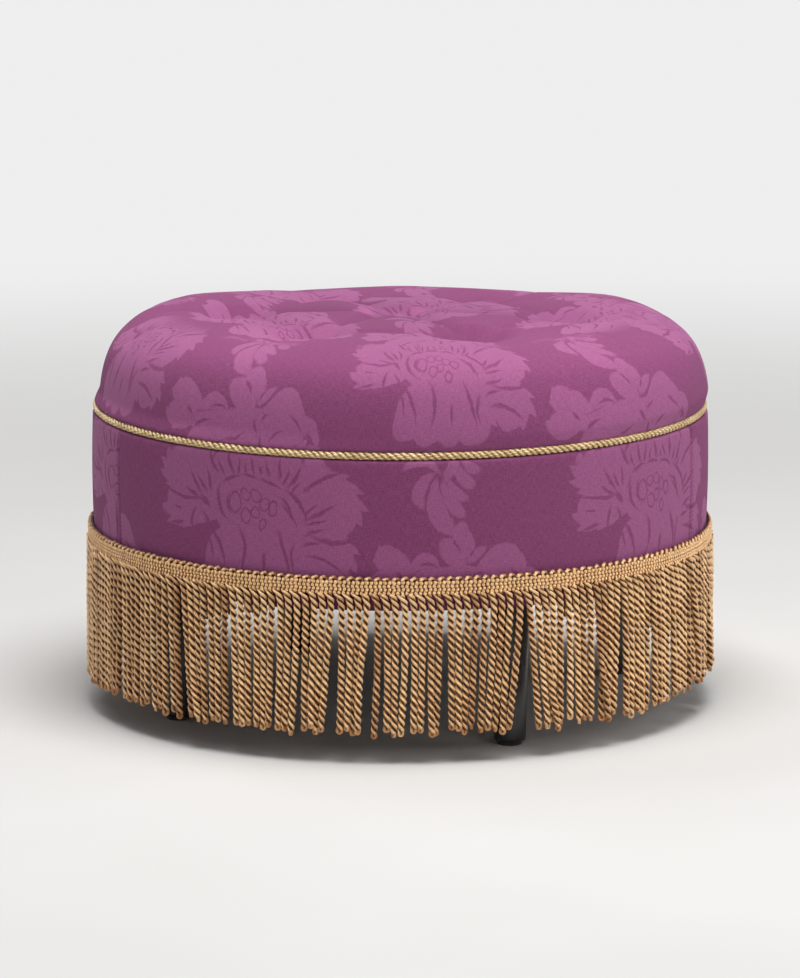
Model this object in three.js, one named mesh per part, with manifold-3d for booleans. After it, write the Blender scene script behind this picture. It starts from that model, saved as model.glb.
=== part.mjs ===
// Round tuffet: a tufted, crowned seat over an upholstered drum, with a twisted cord round
// the seam, a hanging bullion fringe and four tapered legs.
// Millimetres, +Z up. The origin is on the floor, at the middle. The front faces -Y.
// An azimuth is an angle seen from above, from the front towards +X.

import * as THREE from "three";
import { mergeVertices } from "three/addons/utils/BufferGeometryUtils.js";
import Module from "manifold-3d";

const wasm = await Module();
wasm.setup();

// Driving dimensions of the body
const bodyRadius = 305;
const bodyBottom = 150;
const seamHeight = 298;
const fit = 0.3;
const cutOverrun = 5;

// Frame: two plywood rounds, posts between them and a bent hardboard wall
const baseThickness = 18;
const deckThickness = 12;
const deckDrop = 8;
const wallThickness = 3.2;
const postSide = 38;
const postInset = 12;
const postCount = 6;
const postLead = THREE.MathUtils.degToRad(15);

// Covers and padding of the drum
const fabricThickness = 1.4;
const skirtDrop = 24;
const hemWidth = 28;
const leftSeamAzimuth = THREE.MathUtils.degToRad(-63.6);
const rightSeamAzimuth = THREE.MathUtils.degToRad(68.7);

// Crown of the seat: a shallow dome on a round-shouldered block
const crownRise = 99;
const crownDome = 21;
const crownInset = 1.5;
const crownSquareness = 22;
const crownRoundness = 0.65;
const shoulderShares = [0.865, 0.94, 0.982];
const waddingThickness = 10;

// Tufts: one in the middle and a ring of them
const tuftRing = 155;
const tuftCount = 6;
const tuftAzimuth = THREE.MathUtils.degToRad(26);
const tuftDepth = 20;
const tuftFlat = 14;
const tuftReach = 60;
const tuftStep = 26;
const buttonRadius = 10;
const buttonHeight = 7.5;
const buttonLift = 0.6;
const buttonEdgeShare = 0.3;
const buttonBrowShare = 0.75;
const buttonBrowRadiusShare = 0.8;
const shankRadius = 3;
const shankHeight = 1.6;
const twineRadius = 1.2;
const knotRadius = 3.4;
const washerRadius = 12;
const washerThickness = 1.5;

// Seam cord
const cordDiameter = 7.5;

// Bullion fringe: a knitted header with looped cords hanging from it
const headerTop = 183;
const headerHeight = 20;
const headerThickness = 5.2;
const headerEase = 1.2;
const strandDiameter = 7;
const strandNeck = 3.4;
const strandCount = 224;
const strandBottom = 29;
const strandRoot = 4;
const strandStray = 3.5;
const swayReach = 4;
const swayWaves = 7;
const partingReach = 7;
const partingAzimuth = THREE.MathUtils.degToRad(20.5);
const partingSpread = THREE.MathUtils.degToRad(18);
const fringeJoint = THREE.MathUtils.degToRad(66);
const fringeNames = ["fringe_back_right", "fringe_back_left", "fringe_front_left", "fringe_front_right"];

// Legs and their hardware
const legInset = 49.4;
const legAzimuth = THREE.MathUtils.degToRad(26);
const legFootRadius = 15.6;
const legTopRadius = 19.5;
const legEase = 2.4;
const legEaseShare = 0.3;
const legNames = ["front_right", "back_right", "back_left", "front_left"];
const boltRadius = 4;
const boltGrip = 36;
const boltStandOut = 6;
const boltTipHeightShare = 0.25;
const boltTipShare = 0.75;
const nutBarrelRadius = 5.4;
const nutBarrelDepth = 11;
const nutFlangeRadius = 11;
const nutFlangeThickness = 1.6;
const glideRadius = 12;
const glideThickness = 3;
const glideEase = 0.8;

// Dust cover under the base
const dustThickness = 0.8;
const dustLap = 10;
const dustStep = 2;

// Facets round each kind of piece. The drum and the seat share one count and one start,
// so that their nested rings stay in step.
const bodyFacets = 42;
const cordSides = 8;
const legFacets = 20;
const smallFacets = 12;
const holeFacets = 5;
const strandSides = 4;

// A facet narrower than this share of a whole one is joined to its neighbour
const sliverShare = 0.02;

// Radii of the drum's layers, from the outside in
const cordRadius = cordDiameter / 2;
const cordRing = bodyRadius - cordRadius;
const skirtOuter = cordRing - cordRadius - fit;
const skirtInner = skirtOuter - fabricThickness;
const wallOuter = skirtInner - fit;
const wallInner = wallOuter - wallThickness;
const boardRadius = wallInner - fit;
const legCircle = boardRadius - legInset;
const paddingOuter = bodyRadius - fabricThickness - fit;
const paddingInner = wallOuter + fit;
const paddingLap = skirtOuter + fit;
const crownRadius = bodyRadius - crownInset;

// Heights of the layers, from the floor up
const deckTop = seamHeight - deckDrop;
const deckBottom = deckTop - deckThickness;
const baseTop = bodyBottom + baseThickness;
const coverFoot = seamHeight + cordRadius + fit;
const bandTop = seamHeight - cordRadius - fit;
const skirtBottom = seamHeight - skirtDrop;
const hemTop = bodyBottom - fit;
const hemBottom = hemTop - fabricThickness;
const hemInner = bodyRadius - hemWidth;
const dustTop = hemTop;
const dustBottom = dustTop - dustThickness;
const dustLapTop = hemBottom - fit;
const dustLapBottom = dustLapTop - dustThickness;
const legTop = dustBottom - fit;
const legBottom = glideThickness + fit;
const headerBottom = headerTop - headerHeight;

const turn = Math.PI * 2;
const half = 0.5;

const purple = { color: 0x8f4f83, roughness: 0.85, metalness: 0 };
const gold = { color: 0xc1965f, roughness: 0.55, metalness: 0 };
const plywood = { color: 0xc9a877, roughness: 0.8, metalness: 0 };
const hardboard = { color: 0x7a5a3c, roughness: 0.8, metalness: 0 };
const foam = { color: 0xe9dfb6, roughness: 0.95, metalness: 0 };
const wadding = { color: 0xf2f0ea, roughness: 1, metalness: 0 };
const ebony = { color: 0x17130f, roughness: 0.35, metalness: 0 };
const zinc = { color: 0xb9bcc0, roughness: 0.35, metalness: 0.9 };
const felt = { color: 0x3a3733, roughness: 1, metalness: 0 };
const cambric = { color: 0x1b1b1d, roughness: 0.95, metalness: 0 };
const linenTwine = { color: 0xdccfae, roughness: 0.9, metalness: 0 };

// A point at an azimuth, a distance from the middle and a height
function spot(azimuth, radius, height) {
  return new THREE.Vector3(radius * Math.sin(azimuth), -radius * Math.cos(azimuth), height);
}

// Keeps positions alone, joins shared corners, drops empty triangles and turns faces out
function closed(geometry) {
  geometry.deleteAttribute("normal");
  geometry.deleteAttribute("uv");
  const merged = mergeVertices(geometry);
  const corners = merged.index.array;
  const place = merged.attributes.position;
  const [a, b, c] = [new THREE.Vector3(), new THREE.Vector3(), new THREE.Vector3()];
  const kept = [];
  let volume = 0;
  for (let i = 0; i < corners.length; i += 3) {
    const [p, q, r] = corners.slice(i, i + 3);
    if (p === q || q === r || r === p) continue;
    a.fromBufferAttribute(place, p);
    b.fromBufferAttribute(place, q);
    c.fromBufferAttribute(place, r);
    volume += a.dot(b.cross(c));
    kept.push(p, q, r);
  }
  merged.setIndex(volume < 0 ? kept.reverse() : kept);
  return merged;
}

// Turns a list of [radius, height] points about the vertical axis
function revolve(profile, facets, start = 0) {
  const points = profile.map(([radius, height]) => new THREE.Vector2(radius, height));
  return closed(new THREE.LatheGeometry(points, facets, start, turn).rotateX(turn / 4));
}

// A round piece of the drum, with its facets in step with the tufts
function drumPiece(profile) {
  return revolve(profile, bodyFacets, tuftAzimuth);
}

// How far in a flat facet lies at an azimuth, as a share of its corners' radius
function facetShare(azimuth) {
  const step = turn / bodyFacets;
  const facet = Math.floor((azimuth - tuftAzimuth) / step);
  const middle = tuftAzimuth + (facet + half) * step;
  return Math.cos(step * half) / Math.cos(azimuth - middle);
}

// A closed profile carried round the axis from one azimuth to another, with flat ends.
// The ends lie on the drum's facets, so that swept and turned pieces nest alike.
function sweep(profile, from, to) {
  const step = turn / bodyFacets;
  const azimuths = [from];
  const first = Math.ceil((from - tuftAzimuth) / step + sliverShare);
  for (let n = first; tuftAzimuth + (n + sliverShare) * step < to; n += 1) {
    azimuths.push(tuftAzimuth + n * step);
  }
  azimuths.push(to);
  const positions = [];
  for (const azimuth of azimuths) {
    const share = facetShare(azimuth);
    for (const [radius, height] of profile) {
      positions.push(...spot(azimuth, radius * share, height));
    }
  }
  const count = profile.length;
  const index = [];
  for (let row = 0; row + 1 < azimuths.length; row += 1) {
    for (let i = 0; i < count; i += 1) {
      const a = row * count + i;
      const b = row * count + ((i + 1) % count);
      index.push(a, b, b + count, a, b + count, a + count);
    }
  }
  const outline = profile.map(([radius, height]) => new THREE.Vector2(radius, height));
  const last = (azimuths.length - 1) * count;
  const anticlockwise = !THREE.ShapeUtils.isClockWise(outline);
  for (const [a, b, c] of THREE.ShapeUtils.triangulateShape(outline, [])) {
    if (anticlockwise) {
      index.push(c, b, a, last + a, last + b, last + c);
    } else {
      index.push(a, b, c, last + c, last + b, last + a);
    }
  }
  const geometry = new THREE.BufferGeometry();
  geometry.setAttribute("position", new THREE.Float32BufferAttribute(positions, 3));
  geometry.setIndex(index);
  return closed(geometry);
}

function toManifold(geometry) {
  const clean = closed(geometry);
  return new wasm.Manifold(new wasm.Mesh({
    numProp: 3,
    vertProperties: new Float32Array(clean.attributes.position.array),
    triVerts: new Uint32Array(clean.index.array),
  }));
}

function fromManifold(manifold) {
  const cut = manifold.getMesh();
  const geometry = new THREE.BufferGeometry();
  geometry.setAttribute("position", new THREE.BufferAttribute(cut.vertProperties, cut.numProp));
  geometry.setIndex(new THREE.BufferAttribute(cut.triVerts, 1));
  return geometry;
}

// A geometry with a list of other geometries cut out of it
function cutFrom(geometry, cutters) {
  let solid = toManifold(geometry);
  for (const cutter of cutters) solid = solid.subtract(toManifold(cutter));
  return fromManifold(solid);
}

function uprightCylinder(radius, bottom, top, facets, place) {
  const cylinder = new THREE.CylinderGeometry(radius, radius, top - bottom, facets);
  cylinder.rotateX(turn / 4);
  return cylinder.translate(place.x, place.y, (top + bottom) * half);
}

function named(name, geometry, finish) {
  const mesh = new THREE.Mesh(geometry, new THREE.MeshStandardMaterial(finish));
  mesh.name = name;
  return mesh;
}

// Height of the crown without its tufts
function crownHeight(radius) {
  const share = Math.min(radius / crownRadius, 1);
  const block = (crownRise - crownDome) * (1 - share ** crownSquareness) ** crownRoundness;
  return seamHeight + block + crownDome * (1 - share * share);
}

function tuftPlaces() {
  const places = [spot(0, 0, crownHeight(0) - tuftDepth)];
  for (let n = 0; n < tuftCount; n += 1) {
    const azimuth = tuftAzimuth + (n * turn) / tuftCount;
    places.push(spot(azimuth, tuftRing, crownHeight(tuftRing) - tuftDepth));
  }
  return places;
}

const tufts = tuftPlaces();

// How far the tufts pull the surface down at a place on the seat
function pull(x, y) {
  let deepest = 0;
  for (const tuft of tufts) {
    const away = Math.hypot(x - tuft.x, y - tuft.y);
    const slope = THREE.MathUtils.clamp((away - tuftFlat) / (tuftReach - tuftFlat), 0, 1);
    deepest = Math.max(deepest, half + half * Math.cos(slope * Math.PI));
  }
  return deepest * tuftDepth;
}

// The crown's rings as [radius, height], from the middle out, without the seam's own ring
function crownRings() {
  const radii = [
    0,
    tuftFlat,
    tuftReach,
    tuftRing - tuftStep,
    tuftRing,
    tuftRing + tuftStep,
    ...shoulderShares.map((share) => share * crownRadius),
  ];
  return radii.map((radius) => [radius, crownHeight(radius)]);
}

// The crown's rings moved in by a depth, square to the crown
function crownLayer(depth) {
  const rings = crownRings();
  const ends = [...rings, [crownRadius, coverFoot]];
  return rings.map(([radius, height], n) => {
    const [innerRadius, innerHeight] = n ? ends[n - 1] : [-ends[1][0], ends[1][1]];
    const [outerRadius, outerHeight] = ends[n + 1];
    const run = outerRadius - innerRadius;
    const fall = innerHeight - outerHeight;
    const length = Math.hypot(run, fall);
    return [radius - (depth * fall) / length, height - (depth * run) / length];
  });
}

// Corners of the rings, pulled down at the tufts: the middle point first, then ring by ring
function ringPoints(rings) {
  const points = [];
  rings.forEach(([radius, height], n) => {
    for (let i = 0; i < (n ? bodyFacets : 1); i += 1) {
      const point = spot(tuftAzimuth + (i * turn) / bodyFacets, radius, height);
      point.z -= pull(point.x, point.y);
      points.push(point);
    }
  });
  return points;
}

// Triangles of one surface of rings, seen from outside
function ringFaces(ringCount) {
  const faces = [];
  const at = (ring, i) => (ring ? 1 + (ring - 1) * bodyFacets + (i % bodyFacets) : 0);
  for (let i = 0; i < bodyFacets; i += 1) {
    faces.push(0, at(1, i), at(1, i + 1));
    for (let ring = 1; ring + 1 < ringCount; ring += 1) {
      faces.push(at(ring, i), at(ring + 1, i), at(ring + 1, i + 1));
      faces.push(at(ring, i), at(ring + 1, i + 1), at(ring, i + 1));
    }
  }
  return faces;
}

// A closed body between an upper and a lower surface of rings that end side by side
function ringBody(upper, lower) {
  const top = ringPoints(upper);
  const bottom = ringPoints(lower);
  const positions = [...top, ...bottom].flatMap((point) => [point.x, point.y, point.z]);
  const index = ringFaces(upper.length);
  const under = ringFaces(lower.length).reverse();
  index.push(...under.map((corner) => corner + top.length));
  const topEdge = top.length - bodyFacets;
  const bottomEdge = top.length + bottom.length - bodyFacets;
  for (let i = 0; i < bodyFacets; i += 1) {
    const next = (i + 1) % bodyFacets;
    index.push(topEdge + i, bottomEdge + i, bottomEdge + next);
    index.push(topEdge + i, bottomEdge + next, topEdge + next);
  }
  const geometry = new THREE.BufferGeometry();
  geometry.setAttribute("position", new THREE.Float32BufferAttribute(positions, 3));
  geometry.setIndex(index);
  return closed(geometry);
}

// A closed body under a surface of rings, with a flat base
function ringBodyBase(upper) {
  const points = ringPoints(upper);
  const base = upper[upper.length - 1][1];
  const edge = points.length - bodyFacets;
  const positions = points.flatMap((point) => [point.x, point.y, point.z]);
  positions.push(0, 0, base);
  const index = ringFaces(upper.length);
  for (let i = 0; i < bodyFacets; i += 1) {
    index.push(edge + ((i + 1) % bodyFacets), edge + i, points.length);
  }
  const geometry = new THREE.BufferGeometry();
  geometry.setAttribute("position", new THREE.Float32BufferAttribute(positions, 3));
  geometry.setIndex(index);
  return closed(geometry);
}

function twineHoles(bottom, top) {
  const radius = twineRadius + fit;
  return tufts.map((tuft) => uprightCylinder(radius, bottom, top, holeFacets, tuft));
}

const seatTop = seamHeight + crownRise + cutOverrun;

function topCover() {
  const outer = [
    ...crownRings(),
    [crownRadius, coverFoot],
    [skirtOuter, coverFoot],
    [skirtOuter, skirtBottom],
  ];
  const inner = [
    ...crownLayer(fabricThickness),
    [crownRadius - fabricThickness, coverFoot + fabricThickness],
    [skirtInner, coverFoot + fabricThickness],
    [skirtInner, skirtBottom],
  ];
  const shell = ringBody(outer, inner);
  return named("top_cover", cutFrom(shell, twineHoles(deckTop, seatTop)), purple);
}

function seatWadding() {
  const outside = fabricThickness + fit;
  const inside = outside + waddingThickness;
  const foot = coverFoot + outside;
  const outer = [...crownLayer(outside), [crownRadius - outside, foot]];
  const inner = [...crownLayer(inside), [crownRadius - inside, foot]];
  const shell = ringBody(outer, inner);
  return named("seat_wadding", cutFrom(shell, twineHoles(deckTop, seatTop)), wadding);
}

function seatFoam() {
  const outside = fabricThickness + waddingThickness + 2 * fit;
  const upper = [
    ...crownLayer(outside),
    [crownRadius - outside, coverFoot + fabricThickness],
    [skirtInner - fit, coverFoot + fabricThickness],
    [skirtInner - fit, deckTop + fit],
  ];
  const foot = ringBodyBase(upper);
  return named("seat_foam", cutFrom(foot, twineHoles(deckTop - cutOverrun, seatTop)), foam);
}

// A covered button in a tuft: a domed cap on a short shank
function tuftButton(tuft, n) {
  const seat = tuft.z + fit + buttonLift;
  const cap = buttonHeight - shankHeight;
  const profile = [
    [0, seat],
    [shankRadius, seat],
    [shankRadius, seat + shankHeight],
    [buttonRadius, seat + shankHeight + cap * buttonEdgeShare],
    [buttonRadius * buttonBrowRadiusShare, seat + shankHeight + cap * buttonBrowShare],
    [0, seat + buttonHeight],
  ];
  const button = revolve(profile, smallFacets).translate(tuft.x, tuft.y, 0);
  return named(`tuft_button_${n + 1}`, button, purple);
}

// Twine from a button's shank to its knot under the washer
function tuftTwine(tuft, n) {
  const top = tuft.z + buttonLift;
  const knotTop = deckBottom - washerThickness - 2 * fit;
  const profile = [
    [0, knotTop - 2 * knotRadius],
    [knotRadius, knotTop - knotRadius],
    [twineRadius, knotTop],
    [twineRadius, top],
    [0, top],
  ];
  const twine = revolve(profile, 2 * holeFacets).translate(tuft.x, tuft.y, 0);
  return named(`tuft_twine_${n + 1}`, twine, linenTwine);
}

// Washer that spreads a tuft's pull over the underside of the deck
function tuftWasher(tuft, n) {
  const top = deckBottom - fit;
  const bore = twineRadius + fit;
  const profile = [
    [bore, top - washerThickness],
    [washerRadius, top - washerThickness],
    [washerRadius, top],
    [bore, top],
    [bore, top - washerThickness],
  ];
  const washer = revolve(profile, smallFacets).translate(tuft.x, tuft.y, 0);
  return named(`tuft_washer_${n + 1}`, washer, zinc);
}

function seamCord() {
  const ring = [];
  for (let i = 0; i <= cordSides; i += 1) {
    const angle = ((i % cordSides) + half) * (turn / cordSides);
    ring.push([cordRing + cordRadius * Math.cos(angle), seamHeight + cordRadius * Math.sin(angle)]);
  }
  return named("seam_cord", drumPiece(ring), gold);
}

function roundBoard(bottom, top) {
  return drumPiece([
    [0, bottom],
    [boardRadius, bottom],
    [boardRadius, top],
    [0, top],
  ]);
}

function baseBoard() {
  const holes = legPlaces().map((place) => uprightCylinder(
    nutBarrelRadius + fit,
    bodyBottom - cutOverrun,
    baseTop + cutOverrun,
    smallFacets,
    place,
  ));
  return named("base_board", cutFrom(roundBoard(bodyBottom, baseTop), holes), plywood);
}

function topDeck() {
  const board = roundBoard(deckBottom, deckTop);
  const holes = twineHoles(deckBottom - cutOverrun, deckTop + cutOverrun);
  return named("top_deck", cutFrom(board, holes), plywood);
}

function framePost(n) {
  const height = deckBottom - baseTop - 2 * fit;
  const azimuth = legAzimuth + postLead + (n * turn) / postCount;
  const post = named(
    `frame_post_${n + 1}`,
    new THREE.BoxGeometry(postSide, postSide, height),
    plywood,
  );
  const radius = boardRadius - postInset - postSide * half;
  post.position.copy(spot(azimuth, radius, baseTop + fit + height * half));
  post.rotation.z = azimuth;
  return post;
}

function sideWall() {
  const hoop = drumPiece([
    [wallInner, bodyBottom],
    [wallOuter, bodyBottom],
    [wallOuter, deckTop],
    [wallInner, deckTop],
    [wallInner, bodyBottom],
  ]);
  return named("side_wall", hoop, hardboard);
}

// Padding round the wall, thinner where the top cover's skirt is tacked behind it
function sidePadding() {
  const top = bandTop - fabricThickness - fit;
  const lapBottom = skirtBottom - fit;
  const hoop = drumPiece([
    [paddingInner, bodyBottom],
    [paddingOuter, bodyBottom],
    [paddingOuter, top],
    [paddingLap, top],
    [paddingLap, lapBottom],
    [paddingInner, lapBottom],
    [paddingInner, bodyBottom],
  ]);
  return named("side_padding", hoop, wadding);
}

// One panel of the fabric band, turned in at the seam cord and hemmed under the base
function sideCover(name, from, to) {
  const inner = bodyRadius - fabricThickness;
  const profile = [
    [hemInner, hemBottom],
    [bodyRadius, hemBottom],
    [bodyRadius, bandTop],
    [paddingLap, bandTop],
    [paddingLap, bandTop - fabricThickness],
    [inner, bandTop - fabricThickness],
    [inner, hemTop],
    [hemInner, hemTop],
  ];
  const gap = (fit * half) / bodyRadius;
  return named(name, sweep(profile, from + gap, to - gap), purple);
}

// Sideways drift of the cords' lower ends, as an angle
function drift(azimuth) {
  const sway = swayReach * Math.sin(azimuth * swayWaves);
  const away = azimuth - partingAzimuth;
  const parted = partingReach * Math.sign(away) * Math.exp(-Math.abs(away) / partingSpread);
  return (sway + parted) / bodyRadius;
}

// One hanging cord of the fringe: thin where it leaves the header, full at its looped end
function fringeStrand(azimuth, n) {
  const stray = strandStray * Math.sin(n * n);
  const hang = bodyRadius + fit + strandDiameter * half;
  const low = spot(azimuth + drift(azimuth), hang, strandBottom + stray);
  const high = spot(azimuth, bodyRadius + fit + headerThickness * half, headerBottom + strandRoot);
  const along = high.clone().sub(low);
  const strand = new THREE.CylinderGeometry(
    strandNeck * half,
    strandDiameter * half,
    along.length(),
    strandSides,
  );
  const upright = new THREE.Quaternion().setFromUnitVectors(
    new THREE.Vector3(0, 1, 0),
    along.clone().normalize(),
  );
  strand.rotateY(turn / 4 - azimuth).applyQuaternion(upright);
  const middle = high.add(low).multiplyScalar(half);
  return strand.translate(middle.x, middle.y, middle.z);
}

// A quarter of the fringe: a slice of header with its cords joined to it
function fringeQuarter(name, quarter) {
  const inner = bodyRadius + fit;
  const outer = inner + headerThickness;
  const profile = [
    [inner, headerBottom],
    [outer, headerBottom],
    [outer, headerTop - headerEase],
    [outer - headerEase, headerTop],
    [inner, headerTop],
  ];
  const from = fringeJoint + (quarter * turn) / fringeNames.length;
  const to = from + turn / fringeNames.length;
  const gap = (fit * half) / bodyRadius;
  const perQuarter = strandCount / fringeNames.length;
  let solid = toManifold(sweep(profile, from + gap, to - gap));
  for (let n = 0; n < perQuarter; n += 1) {
    const azimuth = from + ((n + half) * turn) / strandCount;
    const strand = fringeStrand(wrapped(azimuth), quarter * perQuarter + n);
    solid = solid.add(toManifold(strand));
  }
  return named(name, fromManifold(solid), gold);
}

// The same azimuth between minus and plus half a turn
function wrapped(azimuth) {
  return azimuth > Math.PI ? azimuth - turn : azimuth;
}

function legPlaces() {
  return legNames.map((name, n) => spot(legAzimuth + (n * turn) / legNames.length, legCircle, 0));
}

// A tapered round leg with an eased foot and a bore for its bolt
function leg(name) {
  const bore = boltRadius + fit;
  const boreBottom = legTop - boltGrip - fit;
  const profile = [
    [0, legBottom],
    [legFootRadius - legEase, legBottom],
    [legFootRadius - legEase * legEaseShare, legBottom + legEase * legEaseShare],
    [legFootRadius, legBottom + legEase],
    [legTopRadius, legTop],
    [bore, legTop],
    [bore, boreBottom],
    [0, boreBottom],
  ];
  return named(`leg_${name}`, revolve(profile, legFacets), ebony);
}

// Hanger bolt: screwed into the leg, and up through the base into its nut
function legBolt(name) {
  const bottom = legTop - boltGrip;
  const top = baseTop + boltStandOut;
  const profile = [
    [0, bottom],
    [boltRadius, bottom + boltRadius],
    [boltRadius, top - boltRadius * boltTipHeightShare],
    [boltRadius * boltTipShare, top],
    [0, top],
  ];
  return named(`leg_bolt_${name}`, revolve(profile, smallFacets), zinc);
}

// Tee nut: a flange on the base board with a barrel in its hole
function legNut(name) {
  const bore = boltRadius + fit;
  const seat = baseTop + fit;
  const profile = [
    [bore, baseTop - nutBarrelDepth],
    [nutBarrelRadius, baseTop - nutBarrelDepth],
    [nutBarrelRadius, seat],
    [nutFlangeRadius, seat],
    [nutFlangeRadius, seat + nutFlangeThickness],
    [bore, seat + nutFlangeThickness],
    [bore, baseTop - nutBarrelDepth],
  ];
  return named(`leg_nut_${name}`, revolve(profile, smallFacets), zinc);
}

// Felt glide under a leg
function legGlide(name) {
  const profile = [
    [0, 0],
    [glideRadius - glideEase, 0],
    [glideRadius, glideEase],
    [glideRadius, glideThickness],
    [0, glideThickness],
  ];
  return named(`leg_glide_${name}`, revolve(profile, legFacets), felt);
}

// A leg with its bolt, nut and glide, at its place under the base
function legSet(name, place) {
  const set = new THREE.Group();
  set.add(leg(name), legBolt(name), legNut(name), legGlide(name));
  set.position.copy(place);
  return set;
}

// Dust cover: lies on the base inside the hem, and laps over the hem's raw edge
function dustCover() {
  const lap = hemInner + dustLap;
  const low = hemInner - fit;
  const high = low - dustStep;
  const cloth = drumPiece([
    [0, dustBottom],
    [high - dustThickness, dustBottom],
    [low - dustThickness, dustLapBottom],
    [lap, dustLapBottom],
    [lap, dustLapTop],
    [low, dustLapTop],
    [high, dustTop],
    [0, dustTop],
  ]);
  const holes = legPlaces().map((place) => uprightCylinder(
    boltRadius + fit,
    dustLapBottom - cutOverrun,
    dustTop + cutOverrun,
    smallFacets,
    place,
  ));
  return named("dust_cover", cutFrom(cloth, holes), cambric);
}

function frame() {
  const group = new THREE.Group();
  group.add(baseBoard(), topDeck(), sideWall());
  for (let n = 0; n < postCount; n += 1) group.add(framePost(n));
  return group;
}

function drum() {
  const group = new THREE.Group();
  group.add(
    sidePadding(),
    sideCover("side_cover_front", leftSeamAzimuth, rightSeamAzimuth),
    sideCover("side_cover_back", rightSeamAzimuth, leftSeamAzimuth + turn),
    seamCord(),
    dustCover(),
  );
  return group;
}

function seat() {
  const group = new THREE.Group();
  group.add(seatFoam(), seatWadding(), topCover());
  tufts.forEach((tuft, n) => group.add(tuftButton(tuft, n), tuftTwine(tuft, n), tuftWasher(tuft, n)));
  return group;
}

function fringe() {
  const group = new THREE.Group();
  fringeNames.forEach((name, quarter) => group.add(fringeQuarter(name, quarter)));
  return group;
}

function legs() {
  const group = new THREE.Group();
  legPlaces().forEach((place, n) => group.add(legSet(legNames[n], place)));
  return group;
}

const tuffet = new THREE.Group();
tuffet.add(frame(), drum(), seat(), fringe(), legs());

export default tuffet;
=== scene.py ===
import math

import bpy
import numpy as np
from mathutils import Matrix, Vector
from mathutils.kdtree import KDTree


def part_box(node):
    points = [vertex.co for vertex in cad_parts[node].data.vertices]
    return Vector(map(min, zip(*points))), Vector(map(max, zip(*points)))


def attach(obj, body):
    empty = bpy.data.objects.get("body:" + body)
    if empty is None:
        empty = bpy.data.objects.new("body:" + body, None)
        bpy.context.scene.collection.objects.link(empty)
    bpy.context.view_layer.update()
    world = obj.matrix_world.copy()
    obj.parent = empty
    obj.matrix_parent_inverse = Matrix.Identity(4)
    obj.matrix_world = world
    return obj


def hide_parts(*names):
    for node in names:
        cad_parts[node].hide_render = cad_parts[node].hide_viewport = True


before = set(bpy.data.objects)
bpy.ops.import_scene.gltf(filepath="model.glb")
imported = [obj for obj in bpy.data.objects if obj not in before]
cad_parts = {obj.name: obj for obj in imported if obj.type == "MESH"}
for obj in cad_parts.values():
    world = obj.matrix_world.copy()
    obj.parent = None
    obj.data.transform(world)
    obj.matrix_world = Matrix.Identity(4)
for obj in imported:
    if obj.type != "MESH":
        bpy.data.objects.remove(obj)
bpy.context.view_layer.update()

# Lengths are in millimetres until a mesh is made. An azimuth is an angle seen from above,
# from the front (-Y) towards +X.
MM = 0.001
TURN = 2 * math.pi

BODY_RADIUS = 305.0
BODY_BOTTOM = 150.0
SEAM_HEIGHT = 298.0
FABRIC = 1.4
FIT = 0.3
CORD_RING = 301.25
SKIRT_OUTER = 297.2
SKIRT_BOTTOM = 274.0
WALL_OUTER = 295.0
LAYER_FOOT = 304.0
BAND_TOP = 293.95
BAND_SWELL = 1.3
PADDING_LAP = 297.5
HEM_BOTTOM = 148.3
HEM_INNER = 277.0
LEFT_SEAM = math.radians(-63.6)
RIGHT_SEAM = math.radians(68.7)

CROWN_RADIUS = 303.5
CROWN_RISE = 99.0
CROWN_DOME = 21.0
CROWN_SQUARENESS = 22
CROWN_ROUNDNESS = 0.65
CROWN_TILT = 0.035
CROWN_ROLL = 0.003
CORNER_RISE = 9.0
CORNER_PLACE = 230.0
CORNER_WIDTH = 60.0
CROWN_SHIFT = 4.2
TUFT_RING = 155.0
TUFT_COUNT = 6
TUFT_AZIMUTH = math.radians(26)
TUFT_DEPTH = 20.0
TUFT_FLAT = 14.0
TUFT_REACH = 50.0
PIT_SHARE = 0.14
PIT_WIDTH = 13.0
WADDING = 10.0

HEADER_TOP = 183.0
HEADER_RING = 308.0
STRAND_COUNT = 224
STRAND_BOTTOM = 29.0
STRAND_STRAY = 2.5
STRAGGLER = math.radians(21.7)
STRAGGLER_LEAN = -27.0
RIGHT_LIFT = 8.0
STRAND_RING = 308.8
SWAY_REACH = 4.0
SWAY_WAVES = 7
PARTING_REACH = 12.0
PARTING_AZIMUTH = math.radians(20.5)
PARTING_SPREAD = math.radians(18)
FRINGE_JOINT = math.radians(66)
QUARTERS = ("back_right", "back_left", "front_left", "front_right")

LEG_CIRCLE = 242.6
LEG_AZIMUTH = math.radians(26)
LEG_NAMES = ("front_right", "back_right", "back_left", "front_left")


# Meshes


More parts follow.
